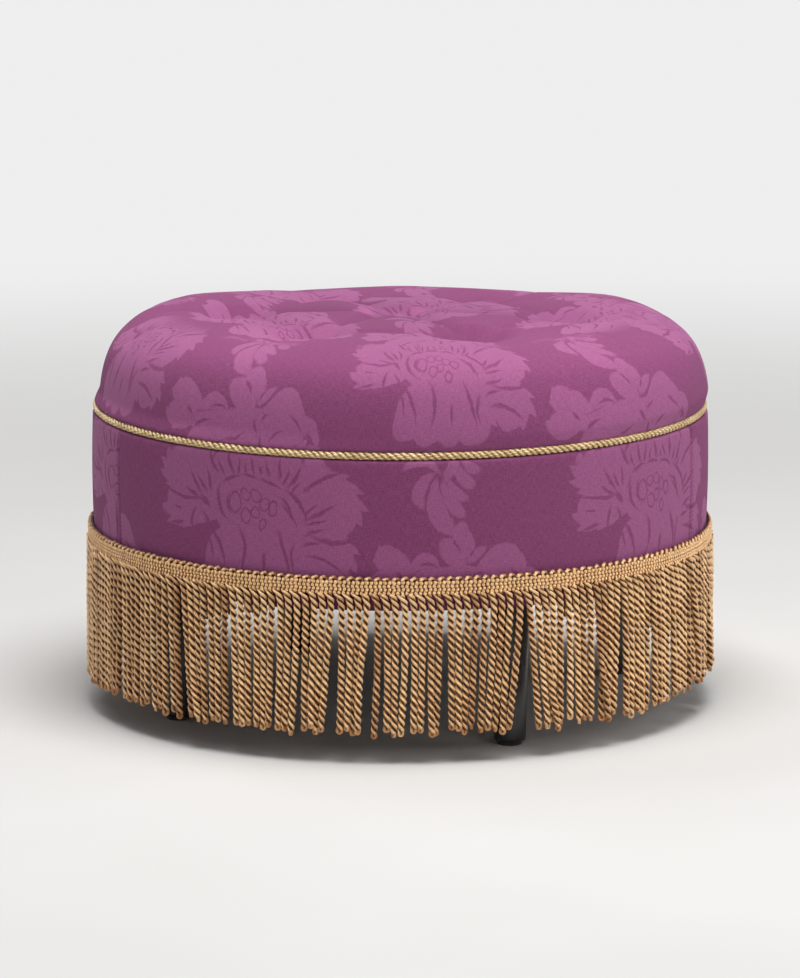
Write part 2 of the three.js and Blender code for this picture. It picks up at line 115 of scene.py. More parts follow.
def make_piece(name, points, face_sets, material, node=None, uv=None, fields=None):
    """A piece of the object from points in millimetres and arrays of quads or triangles. It
    stands for a node of the CAD where one is named. Fields hold a value for each point, or for
    each corner of the faces."""
    mesh = bpy.data.meshes.new(name)
    mesh.vertices.add(len(points))
    mesh.vertices.foreach_set("co", (np.asarray(points) * MM).astype(np.float32).ravel())
    corners = np.concatenate([f.ravel() for f in face_sets]).astype(np.int32)
    counts = np.concatenate([np.full(len(f), f.shape[1]) for f in face_sets])
    starts = np.concatenate([[0], np.cumsum(counts)[:-1]]).astype(np.int32)
    mesh.loops.add(len(corners))
    mesh.loops.foreach_set("vertex_index", corners)
    mesh.polygons.add(len(counts))
    mesh.polygons.foreach_set("loop_start", starts)
    mesh.update(calc_edges=True)
    if uv is not None:
        layer = mesh.uv_layers.new(name="lay")
        layer.uv.foreach_set("vector", np.asarray(uv, np.float32).ravel())
    for key, values in (fields or {}).items():
        kind, prop = ("FLOAT", "value") if np.ndim(values) == 1 else ("FLOAT_VECTOR", "vector")
        domain = "POINT" if len(values) == len(points) else "CORNER"
        data = mesh.attributes.new(key, kind, domain).data
        data.foreach_set(prop, np.asarray(values, np.float32).ravel())
    mesh.shade_smooth()
    mesh.materials.append(material)
    piece = bpy.data.objects.new(name, mesh)
    bpy.context.scene.collection.objects.link(piece)
    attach(piece, "root")
    if node:
        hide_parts(node)
    return piece


def polar(azimuth, radius, height):
    """Points at azimuths, distances from the middle and heights."""
    azimuth, radius, height = np.broadcast_arrays(azimuth, radius, height)
    return np.stack([radius * np.sin(azimuth), -radius * np.cos(azimuth), height], -1)


def grid_faces(rows, columns, closed_rows=False, closed_columns=False):
    """Quads of a grid of points, row by row, with corner shares for a map."""
    r = np.arange(rows if closed_rows else rows - 1)
    c = np.arange(columns if closed_columns else columns - 1)
    r, c = (x.ravel() for x in np.meshgrid(r, c, indexing="ij"))
    r1, c1 = (r + 1) % rows, (c + 1) % columns
    quads = np.stack([r * columns + c, r * columns + c1, r1 * columns + c1, r1 * columns + c], 1)
    shares = np.stack([np.stack([r, c], 1), np.stack([r, c + 1], 1),
                       np.stack([r + 1, c + 1], 1), np.stack([r + 1, c], 1)], 1)
    return quads, shares


def circle(sides):
    """Points round a circle of radius 1."""
    angle = np.arange(sides) * TURN / sides
    return np.stack([np.cos(angle), np.sin(angle)], 1)


def revolve(profile, sides, azimuth):
    """Points and faces of a closed outline of [radius, height] turned about the axis."""
    profile = np.asarray(profile, float)
    turns = azimuth + np.arange(sides) * TURN / sides
    points = polar(turns[:, None], profile[None, :, 0], profile[None, :, 1])
    quads, _ = grid_faces(sides, len(profile), True, True)
    return points.reshape(-1, 3), quads[:, ::-1]


def lathe(profile, sides):
    """Points and faces of an open outline from axis to axis, bottom first, turned round."""
    profile = np.asarray(profile, float)
    turns = np.arange(sides) * TURN / sides
    ring = profile[1:-1]
    points = polar(turns[None, :], ring[:, None, 0], ring[:, None, 1]).reshape(-1, 3)
    quads, _ = grid_faces(len(ring), sides, False, True)
    low, high = len(points), len(points) + 1
    j = np.arange(sides)
    nxt = (j + 1) % sides
    top = (len(ring) - 1) * sides
    caps = np.concatenate([np.stack([np.full(sides, low), nxt, j], 1),
                           np.stack([np.full(sides, high), top + j, top + nxt], 1)])
    ends = polar(0.0, 0.0, np.array([profile[0, 1], profile[-1, 1]]))
    return np.concatenate([points, ends]), [quads, caps]


def tubes(centres, section, closed=False, up=(0.0, 0.0, 1.0), spin=None):
    """Tubes along lines of points: centres is (lines, steps, 3) and section is (sides, 2) or
    (lines, steps, sides, 2). Returns points, faces and a map of [share round, length along]."""
    centres = np.asarray(centres, float)
    lines, steps, _ = centres.shape
    if closed:
        along = np.roll(centres, -1, 1) - np.roll(centres, 1, 1)
    else:
        along = np.gradient(centres, axis=1)
    along /= np.linalg.norm(along, axis=2, keepdims=True)
    side = np.cross(along, np.broadcast_to(np.asarray(up, float), along.shape))
    side /= np.linalg.norm(side, axis=2, keepdims=True)
    rise = np.cross(side, along)
    section = np.broadcast_to(section, (lines, steps) + np.shape(section)[-2:])
    if spin is not None:
        c, s = np.cos(spin)[:, :, None], np.sin(spin)[:, :, None]
        x, y = section[..., 0], section[..., 1]
        section = np.stack([x * c - y * s, x * s + y * c], -1)
    sides = section.shape[2]
    points = (centres[:, :, None] + side[:, :, None] * section[..., :1]
              + rise[:, :, None] * section[..., 1:])
    step = np.linalg.norm(np.diff(centres, axis=1), axis=2)
    length = np.concatenate([np.zeros((lines, 1)), np.cumsum(step, 1)], 1)
    quads, shares = grid_faces(steps, sides, closed, True)
    if closed:
        last = np.linalg.norm(centres[:, 0] - centres[:, -1], axis=1)
        length = np.concatenate([length, length[:, -1:] + last[:, None]], 1)
    uv = np.stack([np.broadcast_to(shares[None, :, :, 1] / sides, (lines,) + shares.shape[:2]),
                   length[:, shares[:, :, 0]]], -1)
    offsets = (np.arange(lines) * steps * sides)[:, None]
    faces = [(quads + offsets[:, :, None]).reshape(-1, 4)]
    uv = uv.reshape(-1, 2)
    if closed:
        return points.reshape(-1, 3), faces, uv
    j = np.arange(sides)
    k = (j + 1) % sides
    final = offsets + (steps - 1) * sides
    tip = np.broadcast_to(lines * steps * sides + np.arange(lines)[:, None], (lines, sides))
    caps = np.concatenate([np.stack([tip, offsets + k, offsets + j], -1),
                           np.stack([tip + lines, final + j, final + k], -1)]).reshape(-1, 3)
    ends = [points[:, 0].mean(1), points[:, -1].mean(1)]
    return (np.concatenate([points.reshape(-1, 3)] + ends), faces + [caps],
            np.concatenate([uv, np.zeros((caps.size, 2))]))


def join(parts):
    """Several [points, faces, uv] as one."""
    points, faces, uvs, start = [], [], [], 0
    for part_points, part_faces, part_uv in parts:
        points.append(part_points)
        faces += [f + start for f in part_faces]
        uvs.append(part_uv)
        start += len(part_points)
    return np.concatenate(points), faces, np.concatenate(uvs)


def small_tubes(lines, radius, sides=6):
    """Thin round tubes along lines of points."""
    return tubes(lines, radius * circle(sides), up=(0.3, 0.2, 0.9))


def lobed_section(radius, depth, sides=12):
    """Outline across a ply of three yarns."""
    angle = np.arange(sides) * TURN / sides
    r = radius * (1 - depth + depth * np.abs(np.cos(angle * 1.5)) * 1.6)
    return r[:, None] * circle(sides)


# Node trees


class Tree:
    """Adds nodes to a tree in the order that they are worked out."""

    def __init__(self, tree):
        self.tree = tree

    def fill(self, node, inputs):
        """Gives a node's inputs their values, and links those that come from another node."""
        for key, value in inputs.items():
            if isinstance(value, bpy.types.NodeSocket):
                self.tree.links.new(value, node.inputs[key])
            else:
                node.inputs[key].default_value = value

    def add(self, kind, inputs=None, out=0, **settings):
        node = self.tree.nodes.new(kind)
        for key, value in settings.items():
            setattr(node, key, value)
        self.fill(node, inputs or {})
        return node.outputs[out]

    def math(self, operation, *values):
        return self.add("ShaderNodeMath", dict(enumerate(values)), operation=operation)

    def times(self, value, by):
        return self.math("MULTIPLY", value, by)

    def scaled(self, value, by, more):
        return self.math("MULTIPLY_ADD", value, by, more)

    def vector(self, operation, inputs, out=0):
        return self.add("ShaderNodeVectorMath", inputs, out=out, operation=operation)

    def apart(self, place):
        """Outputs for the three parts of a place."""
        return self.add("ShaderNodeSeparateXYZ", {0: place}).node.outputs

    def dot(self, place, weights):
        return self.vector("DOT_PRODUCT", {0: place, 1: weights}, out=1)

    def ramp(self, value, low, high, to_low=0.0, to_high=1.0, smooth=True):
        kind = "SMOOTHSTEP" if smooth else "LINEAR"
        return self.add("ShaderNodeMapRange", {0: value, 1: low, 2: high, 3: to_low, 4: to_high},
                        interpolation_type=kind)

    def mix(self, share, a, b):
        return self.add("ShaderNodeMix", {0: share, 6: a, 7: b}, out=2, data_type="RGBA")

    def noise(self, vector, scale, detail=2.0, roughness=0.5, out=0):
        return self.add("ShaderNodeTexNoise",
                        {"Vector": vector, "Scale": scale, "Detail": detail, "Roughness": roughness},
                        out=out)

    def stretch(self, vector, scale, place=(0.0, 0.0, 0.0)):
        return self.add("ShaderNodeMapping", {"Vector": vector, "Scale": scale, "Location": place})

    def field(self, name, out="Vector"):
        return self.add("ShaderNodeAttribute", out=out, attribute_name=name)


def new_material(name):
    material = bpy.data.materials.new(name)
    material.use_nodes = True
    tree = material.node_tree
    return material, Tree(tree), tree.nodes["Principled BSDF"]


def bump(t, height, distance, strength=1.0):
    return t.add("ShaderNodeBump", {"Height": height, "Distance": distance, "Strength": strength})


def linear(r, g, b):
    """A display colour from 0 to 255 as scene-linear values."""
    return tuple(((c / 255 + 0.055) / 1.055) ** 2.4 if c > 10 else c / 255 / 12.92
                 for c in (r, g, b)) + (1.0,)


# Damask: a flower under a spray of leaves and a plume, repeated in columns with a half drop

COLUMN = 216.0
REPEAT = 288.0
COLUMN_START = 68.0
FLOWER_HEIGHT = 388.0
WAVE = 25.0
LOWEST = -84.0

# A lobe is base x, y, tip x, y, half width, bow to the left, swell towards the tip, teeth.
# These merge into one light figure.
FIGURE = (
    (-27, 176, -12, 206, 4.5, -2, 0, 0),
    (-29, 183, -66, 187, 5.5, -10, 0.3, 0),
    (-34, 184, -48, 149, 6, -8, 0.2, 0),
    (-33, 178, -18, 124, 9, -9, 0.35, 0),
    (-27, 177, -8, 140, 6.2, -4, 0.35, 0),
    (-23, 178, -4, 157, 5, -3, 0.4, 0),
    (-15, 197, 3, 170, 6.5, -4, 0.4, 0),
    (-8, 198, 9, 184, 4.5, -2, 0.4, 0),
    (-3, 101, -11, 137, 11, 2, -0.2, 0),
    (-8, 86, -29, 120, 10.5, -2, 0.15, 0),
    (-3, 96, 16, 113, 4.8, 1, -0.25, 0),
    (0, 82, 60, 74, 14, 22, 0.1, 0),
    (2, 80, 54, 70, 12, 8, 0, 0),
    (54, 88, 72, 60, 6, 4, -0.4, 0),
    (-60, 86, -27, 88, 8.5, 11, 0, 0),
    (-58, 86, -92, 113, 14, 2, 0.1, 3),
    (-58, 80, -99, 76, 14, 0, 0.2, 2),
    (-66, 74, 56, 72, 20, 0, 0, 0),
    (-20, 10, -64, 68, 24, 5, 0.2, 4),
    (-6, 10, -24, 80, 24, 2, 0.15, 0),
    (8, 10, 24, 82, 24, -2, 0.15, 0),
    (18, 6, 72, 64, 24, -5, 0.2, 4),
    (26, 0, 118, 8, 33, 4, 0.15, 6),
    (22, -26, 110, -54, 27, 3, 0.15, 5),
    (-22, 6, -115, 34, 25, -4, 0.2, 6),
    (-26, -4, -111, -14, 20, -4, 0.3, 4),
    (-26, -24, -50, -76, 17, 3, -0.1, 0),
    (-10, -14, -22, -80, 19, 3, 0.2, 0),
    (8, -16, 8, -83, 17, 0, 0.2, 0),
    (26, -16, 42, -80, 21, -3, 0.25, 0),
    (0, -34, 0, 40, 46, 0, 0, 0),
)
# Dark strokes drawn in it, thick at the base and fine at the tip
STROKES = (
    (-37, 30, -50, 54, 2.0, 2), (-30, 28, -38, 46, 1.6, 1), (-18, 29, -26, 56, 2.2, 2),
    (-14, 29, -12, 50, 1.7, 0), (-6, 32, -5, 44, 1.4, 0), (5, 32, 0, 52, 1.9, -1),
    (13, 33, 11, 42, 1.3, 0), (21, 33, 17, 47, 1.5, 1), (30, 29, 30, 53, 2.1, -1),
    (34, 25, 41, 41, 1.7, -1), (38, 22, 54, 47, 2.1, -2), (42, 17, 51, 29, 1.5, 0),
    (-46, 42, -30, 62, 1.8, 1), (6, 52, 4, 70, 2.0, 0), (56, 44, 44, 62, 1.8, -2),
    (52, 18, 99, 38, 2.4, 5), (60, -23, 116, -22, 2.4, -6), (-50, 6, -108, 10, 2.2, 5),
    (-34, 22, -10, 29, 2.0, 2), (-10, 30, 10, 29, 1.7, 2), (10, 29, 33, 20, 2.0, 3),
    (35, 23, 59, -15, 2.3, 6), (-35, 22, -21, -18, 2.5, -8), (-23, 15, -19, -10, 1.8, -5),
    (27, 14, 44, -14, 1.8, 6), (32, 6, 50, -20, 1.6, 3),
    (55, -9, 90, 10, 2.5, -1), (57, -5, 69, 9, 1.8, 1), (55, -25, 78, -18, 2.0, 1),
    (57, -13, 80, -8, 1.6, 0), (54, -35, 74, -30, 1.9, 1), (56, -44, 97, -63, 2.2, 6),
    (104, -44, 119, -54, 1.9, 1), (62, -58, 69, -76, 1.7, 1), (47, -32, 45, -62, 1.9, -4),
    (-13, -17, -15, -66, 2.4, 7), (28, -19, 40, -66, 2.3, 2), (14, -42, 12, -64, 1.9, 0),
    (-46, -22, -29, -64, 2.4, 5), (-50, -30, -44, -54, 1.6, 3),
    (-55, 9, -72, 32, 2.1, 1), (-50, 11, -61, 27, 1.8, 0), (-46, 12, -49, 33, 1.7, 0),
    (-57, 4, -78, 14, 1.8, 0), (-57, 8, -46, -6, 3.2, 0), (-62, -6, -65, -33, 1.9, -4),
    (-56, -8, -49, -38, 2.0, 4), (-78, -22, -99, -25, 1.8, 0), (-82, -10, -94, -8, 1.4, 0),
    (-72, 89, -63, 79, 1.7, -1), (-49, 92, -30, 89, 1.8, 4), (-28, 90, -34, 104, 1.8, -1),
    (-19, 119, -10, 105, 1.6, 1), (-1, 102, 4, 110, 1.4, 0), (3, 80, 14, 88, 1.7, 2),
    (36, 89, 53, 72, 1.9, 3), (-6, 82, 0, 68, 2.2, 0), (-60, 68, -44, 78, 1.9, 3),
    (14, 62, 30, 74, 1.8, 2), (-30, 62, -14, 70, 1.8, -2),
)
# Seeds in its middle, each with a dark line round it
SEEDS = (
    (-17, -8, -17, 15, 6.8, 1), (-6, 5, -6, 18, 6.2, 0), (5, 6, 6, 20, 5.8, 0),
    (-6, -15, -5, 0, 6.2, 0), (4, -10, 5, 3, 5.4, 0), (13, -2, 15, 13, 5.8, 0),
    (12, -21, 14, -8, 4.8, 0), (22, -8, 23, 9, 5.4, -1),
)
THREAD = 0.95
DRAWN_EDGE = 1.4
SEED_LINE = 2.1


def lobe_edge(t, place, spec, teeth=0):
    """How far a place lies from a lobe's middle: 1 on its edge. place ends in a 1."""
    x0, y0, x1, y1, half, bow, swell = spec
    length = math.hypot(x1 - x0, y1 - y0)
    c, s = (x1 - x0) / length, (y1 - y0) / length
    x, y = (x0 + x1) / 2, (y0 + y1) / 2
    m = t.dot(place, (2 * c / length, 2 * s / length, -2 * (x * c + y * s) / length))
    w = t.dot(place, (-s / half, c / half, (x * s - y * c - bow) / half))
    square = t.times(m, m)
    if bow:
        w = t.scaled(square, bow / half, w)
    if swell:
        w = t.math("DIVIDE", w, t.scaled(m, swell, 1.0))
    edge = t.scaled(w, w, square)
    if teeth:
        turn = t.scaled(t.math("ARCTAN2", w, m), 2.2 * teeth / TURN, 0.3)
        saw = t.times(t.math("FRACT", turn), t.math("MAXIMUM", m, 0.0))
        edge = t.scaled(saw, 0.42, edge)
    return edge


def damask_group():
    group = bpy.data.node_groups.new("damask_figure", "ShaderNodeTree")
    group.interface.new_socket("Cloth", in_out="INPUT", socket_type="NodeSocketVector")
    group.interface.new_socket("Figure", in_out="OUTPUT", socket_type="NodeSocketFloat")
    t = Tree(group)
    entry = group.nodes.new("NodeGroupInput")
    u, v, _ = t.apart(entry.outputs[0])
    column = t.math("DIVIDE", t.math("SUBTRACT", u, COLUMN_START), COLUMN)
    whole = t.math("FLOOR", column)
    part = t.math("SUBTRACT", column, whole)
    odd = t.math("FLOORED_MODULO", whole, 2.0)
    drop = t.scaled(odd, -REPEAT / 2, t.math("SUBTRACT", v, FLOWER_HEIGHT))
    wave = t.math("COSINE", t.times(drop, TURN / REPEAT))
    edge = t.scaled(wave, WAVE / COLUMN, 0.5)
    over = t.math("GREATER_THAN", part, edge)
    index = t.math("ADD", whole, over)
    odd = t.math("FLOORED_MODULO", index, 2.0)
    x = t.times(t.math("SUBTRACT", column, index), COLUMN)
    y = t.scaled(odd, -REPEAT / 2, t.math("SUBTRACT", v, FLOWER_HEIGHT + LOWEST))
    y = t.math("ADD", t.math("FLOORED_MODULO", y, REPEAT), LOWEST)
    place = t.add("ShaderNodeCombineXYZ", {0: x, 1: y, 2: 1.0})
    value = 0.0
    for *spec, teeth in FIGURE:
        soft = DRAWN_EDGE / spec[4]
        inside = t.ramp(lobe_edge(t, place, spec, teeth), 1 - soft, 1 + soft, 1, 0, smooth=False)
        value = t.math("MAXIMUM", value, inside)
    for spec in SEEDS:
        soft, line = DRAWN_EDGE / spec[4], SEED_LINE / spec[4]
        edge = lobe_edge(t, place, spec + (0,))
        outside = t.ramp(edge, 1 - soft, 1, smooth=False)
        inside = t.ramp(edge, 1 - line - soft, 1 - line, 1, 0, smooth=False)
        value = t.scaled(value, outside, inside)
    for spec in STROKES:
        kept = t.ramp(lobe_edge(t, place, spec + (-0.45,)), 0.25, 1.15, smooth=False)
        value = t.times(value, kept)
    group.links.new(value, group.nodes.new("NodeGroupOutput").inputs[0])
    return group


def frayed(t, cloth):
    """Cloth places moved a little, so that drawn edges wander and fray with the weave."""
    out = cloth
    for scale, reach in ((0.03, 9.0), (0.11, 3.2), (0.6, 1.7)):
        wander = t.vector("ADD", {0: t.noise(cloth, scale, out=1), 1: (-0.5, -0.5, -0.5)})
        out = t.vector("ADD", {0: out, 1: t.vector("SCALE", {0: wander, 3: reach})})
    return out


def drawn_on(t, figure, cloth):
    """How light the figure is at a place of the cloth."""
    group = t.add("ShaderNodeGroup", node_tree=figure)
    t.fill(group.node, {0: frayed(t, cloth)})
    return group


def damask_material(name, figure, over_top=False):
    """Damask with the figure by the attribute cloth. Over the top of the seat it goes over to
    the figure by the attribute cloth_top."""
    material, t, shader = new_material(name)
    cloth = t.field("cloth")
    shown = drawn_on(t, figure, cloth)
    if over_top:
        level = t.field("top_share", "Fac")
        top = drawn_on(t, figure, t.field("cloth_top"))
        shown = t.add("ShaderNodeMix", {0: level, 2: shown, 3: top}, data_type="FLOAT")
    warp = t.noise(t.stretch(cloth, (1.6, 0.16, 1.0)), 1.0, 3.0, 0.65)
    weft = t.noise(t.stretch(cloth, (0.16, 1.6, 1.0), (7.3, 1.9, 0.0)), 1.0, 3.0, 0.65)
    slub = t.math("ADD", warp, weft)
    fine = t.noise(cloth, 0.9, 3.0, 0.7)
    tone = t.scaled(slub, 0.55, t.times(fine, 0.45))
    ground = t.mix(t.ramp(tone, 0.50, 1.05), linear(106, 47, 84), linear(150, 76, 124))
    raised = t.mix(t.ramp(tone, 0.45, 1.05), linear(124, 60, 102), linear(170, 95, 145))
    rough = t.scaled(shown, -0.20, 0.80)
    u, v, _ = t.apart(cloth)
    threads = t.times(t.math("SINE", t.times(u, TURN / THREAD)),
                      t.math("SINE", t.times(v, TURN / THREAD)))
    height = t.scaled(threads, 0.35, t.times(slub, 1.1))
    t.fill(shader, {
        "Base Color": t.mix(shown, ground, raised),
        "Roughness": t.scaled(fine, 0.10, rough),
        "Normal": bump(t, height, 0.00035),
        "Sheen Weight": 0.08,
        "Sheen Roughness": 0.45,
        "Sheen Tint": linear(240, 150, 215),
        "Specular IOR Level": 0.3,
    })
    return material


def yarn_material(name, dark, body, light, fibres=7.0, twist=4.0):
    """Satin yarn: fibres wind round it. Its colour runs from dark through body to light with how far
    out from the cord's middle a place lies: painted shade in the hollows and a painted highlight on
    the crests.
    """
    material, t, shader = new_material(name)
    around, along, _ = t.apart(t.add("ShaderNodeUVMap", uv_map="lay"))
    turn = t.scaled(around, fibres, t.math("DIVIDE", along, twist))
    line = t.math("SINE", t.times(turn, TURN))
    # share from hollow to crest that drives the painted shade and painted highlight
    crest_painted_light = t.field("crest_painted_light", "Fac")
    tone = t.field("tone", "Fac")
    place = t.add("ShaderNodeTexCoord", out=3)
    patchy = t.noise(place, 180.0, 3.0, 0.6)
    share = t.scaled(line, 0.16, t.scaled(patchy, 0.34, crest_painted_light))
    share = t.math("ADD", share, tone)
    colour = t.mix(t.ramp(share, 0.22, 0.80), dark, body)
    colour = t.mix(t.ramp(share, 0.80, 1.28), colour, light)
    t.fill(shader, {
        "Base Color": colour,
        "Roughness": t.scaled(patchy, 0.22, 0.29),
        "Normal": bump(t, t.scaled(patchy, 0.5, line), 0.00010, 0.7),
        "Sheen Weight": 0.10,
        "Specular IOR Level": 0.6,
    })
    return material


def plain_material(name, colours, scale, rough, height=0.0001, metallic=0.0, stretch=(1, 1, 1),
                   coat=0.0):
    """A material that wanders between two display colours in a noise stretched along its grain."""
    material, t, shader = new_material(name)
    place = t.add("ShaderNodeTexCoord", out=3)
    grain = t.noise(t.stretch(place, stretch), scale, 4.0, 0.62)
    broad = t.noise(place, scale * 0.07)
    share = t.ramp(t.scaled(broad, 0.6, grain), 0.55, 1.05)
    t.fill(shader, {
        "Base Color": t.mix(share, *(linear(*c) for c in colours)),
        "Roughness": t.scaled(grain, 0.2, rough - 0.1),
        "Normal": bump(t, grain, height),
        "Metallic": metallic,
        "Coat Weight": coat,
        "Coat Roughness": 0.25,
    })
    return material


figure = damask_group()
damask = damask_material("damask_band", figure)
damask_crown = damask_material("damask_crown", figure, over_top=True)
gold = yarn_material("fringe_yarn", linear(58, 24, 5), linear(175, 114, 56), linear(255, 212, 154))
pale_gold = yarn_material("seam_cord_yarn", linear(104, 68, 32), linear(202, 166, 108),
                          linear(250, 226, 176))
black_wood = plain_material("black_wood", ((16, 14, 13), (34, 30, 28)), 60.0, 0.34, 0.00006,
                            stretch=(6, 6, 0.5), coat=0.3)
plywood = plain_material("plywood", ((190, 152, 104), (222, 190, 146)), 30.0, 0.7,
                         stretch=(1, 9, 9))
hardboard = plain_material("hardboard", ((96, 66, 42), (130, 94, 62)), 300.0, 0.75)
foam = plain_material("foam", ((226, 212, 160), (240, 230, 190)), 500.0, 0.9, 0.0006)
wadding_white = plain_material("wadding", ((226, 224, 218), (248, 247, 243)), 90.0, 0.95, 0.0015)
twine_yarn = plain_material("twine", ((196, 180, 140), (228, 216, 184)), 400.0, 0.85,
                            stretch=(1, 1, 0.3))
zinc = plain_material("zinc_steel", ((150, 154, 160), (206, 208, 210)), 220.0, 0.34, 0.00003,
                      metallic=0.9)
thread = plain_material("seam_thread", ((92, 38, 74), (128, 62, 106)), 900.0, 0.6)
felt = plain_material("felt", ((46, 43, 40), (74, 70, 66)), 600.0, 0.95, 0.0004)
cambric = plain_material("cambric", ((20, 20, 22), (44, 44, 48)), 900.0, 0.9, 0.0002)


# Crown of the seat


def crown_line(count=3000):
    """Arc length, radius and height of the crown's plain outline, from the middle out."""
    inner = np.linspace(0, 0.8, count)
    falling = (1 - 0.8 ** CROWN_SQUARENESS) * (1 - np.linspace(0, 1, count)) ** 2
    share = np.concatenate([inner, ((1 - falling) ** (1 / CROWN_SQUARENESS))[1:]])
    block = (CROWN_RISE - CROWN_DOME) * (1 - share ** CROWN_SQUARENESS) ** CROWN_ROUNDNESS
    radius = CROWN_RADIUS * share
    height = SEAM_HEIGHT + block + CROWN_DOME * (1 - share ** 2)
    length = np.concatenate([[0], np.cumsum(np.hypot(np.diff(radius), np.diff(height)))])
    return length, radius, height


LINE = crown_line()
CROWN_LENGTH = float(np.interp(-(SEAM_HEIGHT + 5.0), -LINE[2], LINE[0]))
# height in the figure of the middle of the crown
FIGURE_TOP = SEAM_HEIGHT + LINE[0][-1]
FURROW_DEPTHS = (6.0, 5.5, 3.5)
FURROW_WIDTH = 9.0
FURROW_REACH = 1.55
PUCKER_START = 9.0
PUCKER_RING = 20.0
PUCKER_WIDTH = 17.0
RING = [TUFT_AZIMUTH + n * TURN / TUFT_COUNT for n in range(TUFT_COUNT)]
TUFTS = np.array([[0.0, 0.0]] + [[TUFT_RING * math.sin(a), -TUFT_RING * math.cos(a)] for a in RING])


def furrows(x, y):
    """Depth of the shallow furrows between neighbouring tufts and out to the shoulder."""
    depth = np.zeros_like(x)
    for n in range(1, TUFT_COUNT + 1):
        ends = [(TUFTS[0], TUFTS[n]), (TUFTS[n], TUFTS[n % TUFT_COUNT + 1]),
                (TUFTS[n], TUFTS[n] * FURROW_REACH)]
        for (a, b), deep, fades in zip(ends, FURROW_DEPTHS, (0, 0, 1)):
            along = b - a
            share = ((x - a[0]) * along[0] + (y - a[1]) * along[1]) / (along @ along)
            share = np.clip(share, 0, 1)
            gap = np.hypot(x - a[0] - share * along[0], y - a[1] - share * along[1])
            trough = np.exp(-(gap / FURROW_WIDTH) ** 1.4)
            depth = np.maximum(depth, deep * (1 - fades * share) * trough)
    return depth


def puckers(x, y, away):
    """Small pleats that radiate from each button."""
    rise = np.zeros_like(x)
    for n, (a, b) in enumerate(TUFTS):
        spoke = np.arctan2(y - b, x - a)
        near = away[..., n]
        fade = np.clip((near - PUCKER_START) / 8, 0, 1)
        fade *= np.exp(-((near - PUCKER_RING) / PUCKER_WIDTH) ** 2)
        rise += fade * (1.0 * np.sin(spoke * 6 + n * 2.1) + 0.6 * np.sin(spoke * 11 + n))
    return rise


def crown_surface(length, azimuth):
    """Points of the tufted crown at arc lengths from the middle and azimuths, and how free
    each is of the buttons and the seam."""
    length, azimuth = np.broadcast_arrays(length, azimuth)
    radius = np.interp(length, LINE[0], LINE[1])
    height = np.interp(length, LINE[0], LINE[2])
    wall = eased((height - SEAM_HEIGHT - 3) / 16.0) * (radius / CROWN_RADIUS) ** 6
    radius = radius + CROWN_SHIFT * wall * np.sin(azimuth)
    x, y = radius * np.sin(azimuth), -radius * np.cos(azimuth)
    away = np.sqrt((x[..., None] - TUFTS[:, 0]) ** 2 + (y[..., None] - TUFTS[:, 1]) ** 2)
    slope = np.clip((away - TUFT_FLAT) / (TUFT_REACH - TUFT_FLAT), 0, 1)
    wide = (0.5 + 0.5 * np.cos(slope * math.pi)).max(-1)
    deep = np.exp(-(away / PIT_WIDTH) ** 2).max(-1)
    free = (1 - wide) * (1 - (radius / CROWN_RADIUS).clip(0, 1) ** 8)
    # the back corners stand fuller than the middle of the back
    full = np.exp(-((np.abs(x) - CORNER_PLACE) / CORNER_WIDTH) ** 2) * np.clip((y + 60) / 120, 0, 1)
    lean = CORNER_RISE * full - CROWN_TILT * y * (1 - full) - CROWN_ROLL * x
    dimple = TUFT_DEPTH * ((1 - PIT_SHARE) * wide + PIT_SHARE * deep)
    height = height - dimple - furrows(x, y) * (1 - wide) + puckers(x, y, away) + lean * free
    return np.stack([x, y, height], -1), free


# How far round the figures of the wall are moved, by azimuth, smoothed below
DRIFT_AZIMUTHS = (-120, -80, -50, -27, 8, 27, 50, 80, 130, 180)
DRIFTS = (20, 55, 54, 10, 24, 26, -22, -60, -20, 0)
DRIFT_TURNS = np.arange(720) * TURN / 720


def smooth_drift():
    plain = np.interp(DRIFT_TURNS, np.radians(DRIFT_AZIMUTHS), DRIFTS, period=TURN)
    apart = np.minimum(DRIFT_TURNS, TURN - DRIFT_TURNS)
    weights = np.exp(-(apart / math.radians(7)) ** 2)
    return np.fft.irfft(np.fft.rfft(plain) * np.fft.rfft(weights / weights.sum()), 720)


DRIFT = smooth_drift()
WALL_COLUMNS = 10


def wall_place(length, azimuth):
    """Where a place of the crown lies in the damask of its wall, by its azimuth."""
    wrapped = (azimuth + math.pi) % TURN - math.pi
    u = WALL_COLUMNS * COLUMN / TURN * wrapped + np.interp(azimuth, DRIFT_TURNS, DRIFT, period=TURN)
    return np.stack([u, FIGURE_TOP - length, np.zeros_like(u)], -1)


def unrolled(places, faces):
    """Places in the wall's damask of the corners of faces, where a face that lies across the
    back has all its corners on the same side."""
    corners = places[faces]
    across = np.ptp(corners[..., 0], axis=1) > WALL_COLUMNS * COLUMN / 2
    corners[..., 0] += WALL_COLUMNS * COLUMN * (across[:, None] & (corners[..., 0] < 0))
    return corners.reshape(-1, 3)


# The damask over the top: its widening, its shift, its bow and where it ends
TOP_STRETCH = 1.34
TOP_SHIFT = 20.0
TOP_BOW = 440.0
TOP_END = 245.0
TOP_FADE = 34.0


def top_place(x, y):
    """Where a place x, y of the flattened crown lies in the damask over its top, which meets that
    of the wall all along the front of the shoulder."""
    return np.stack([TOP_STRETCH * x + TOP_SHIFT, FIGURE_TOP + y - x * x / TOP_BOW,
                     np.zeros_like(x)], -1)


def eased(share):
    """A share kept from 0 to 1 that leaves both ends gently."""
    share = np.clip(share, 0, 1)
    return share * share * (3 - 2 * share)


def top_share(length):
    """1 on the top of the crown, where the damask lies flat, and 0 on its wall."""
    return eased((TOP_END - length) / TOP_FADE)


STEP = 2.4


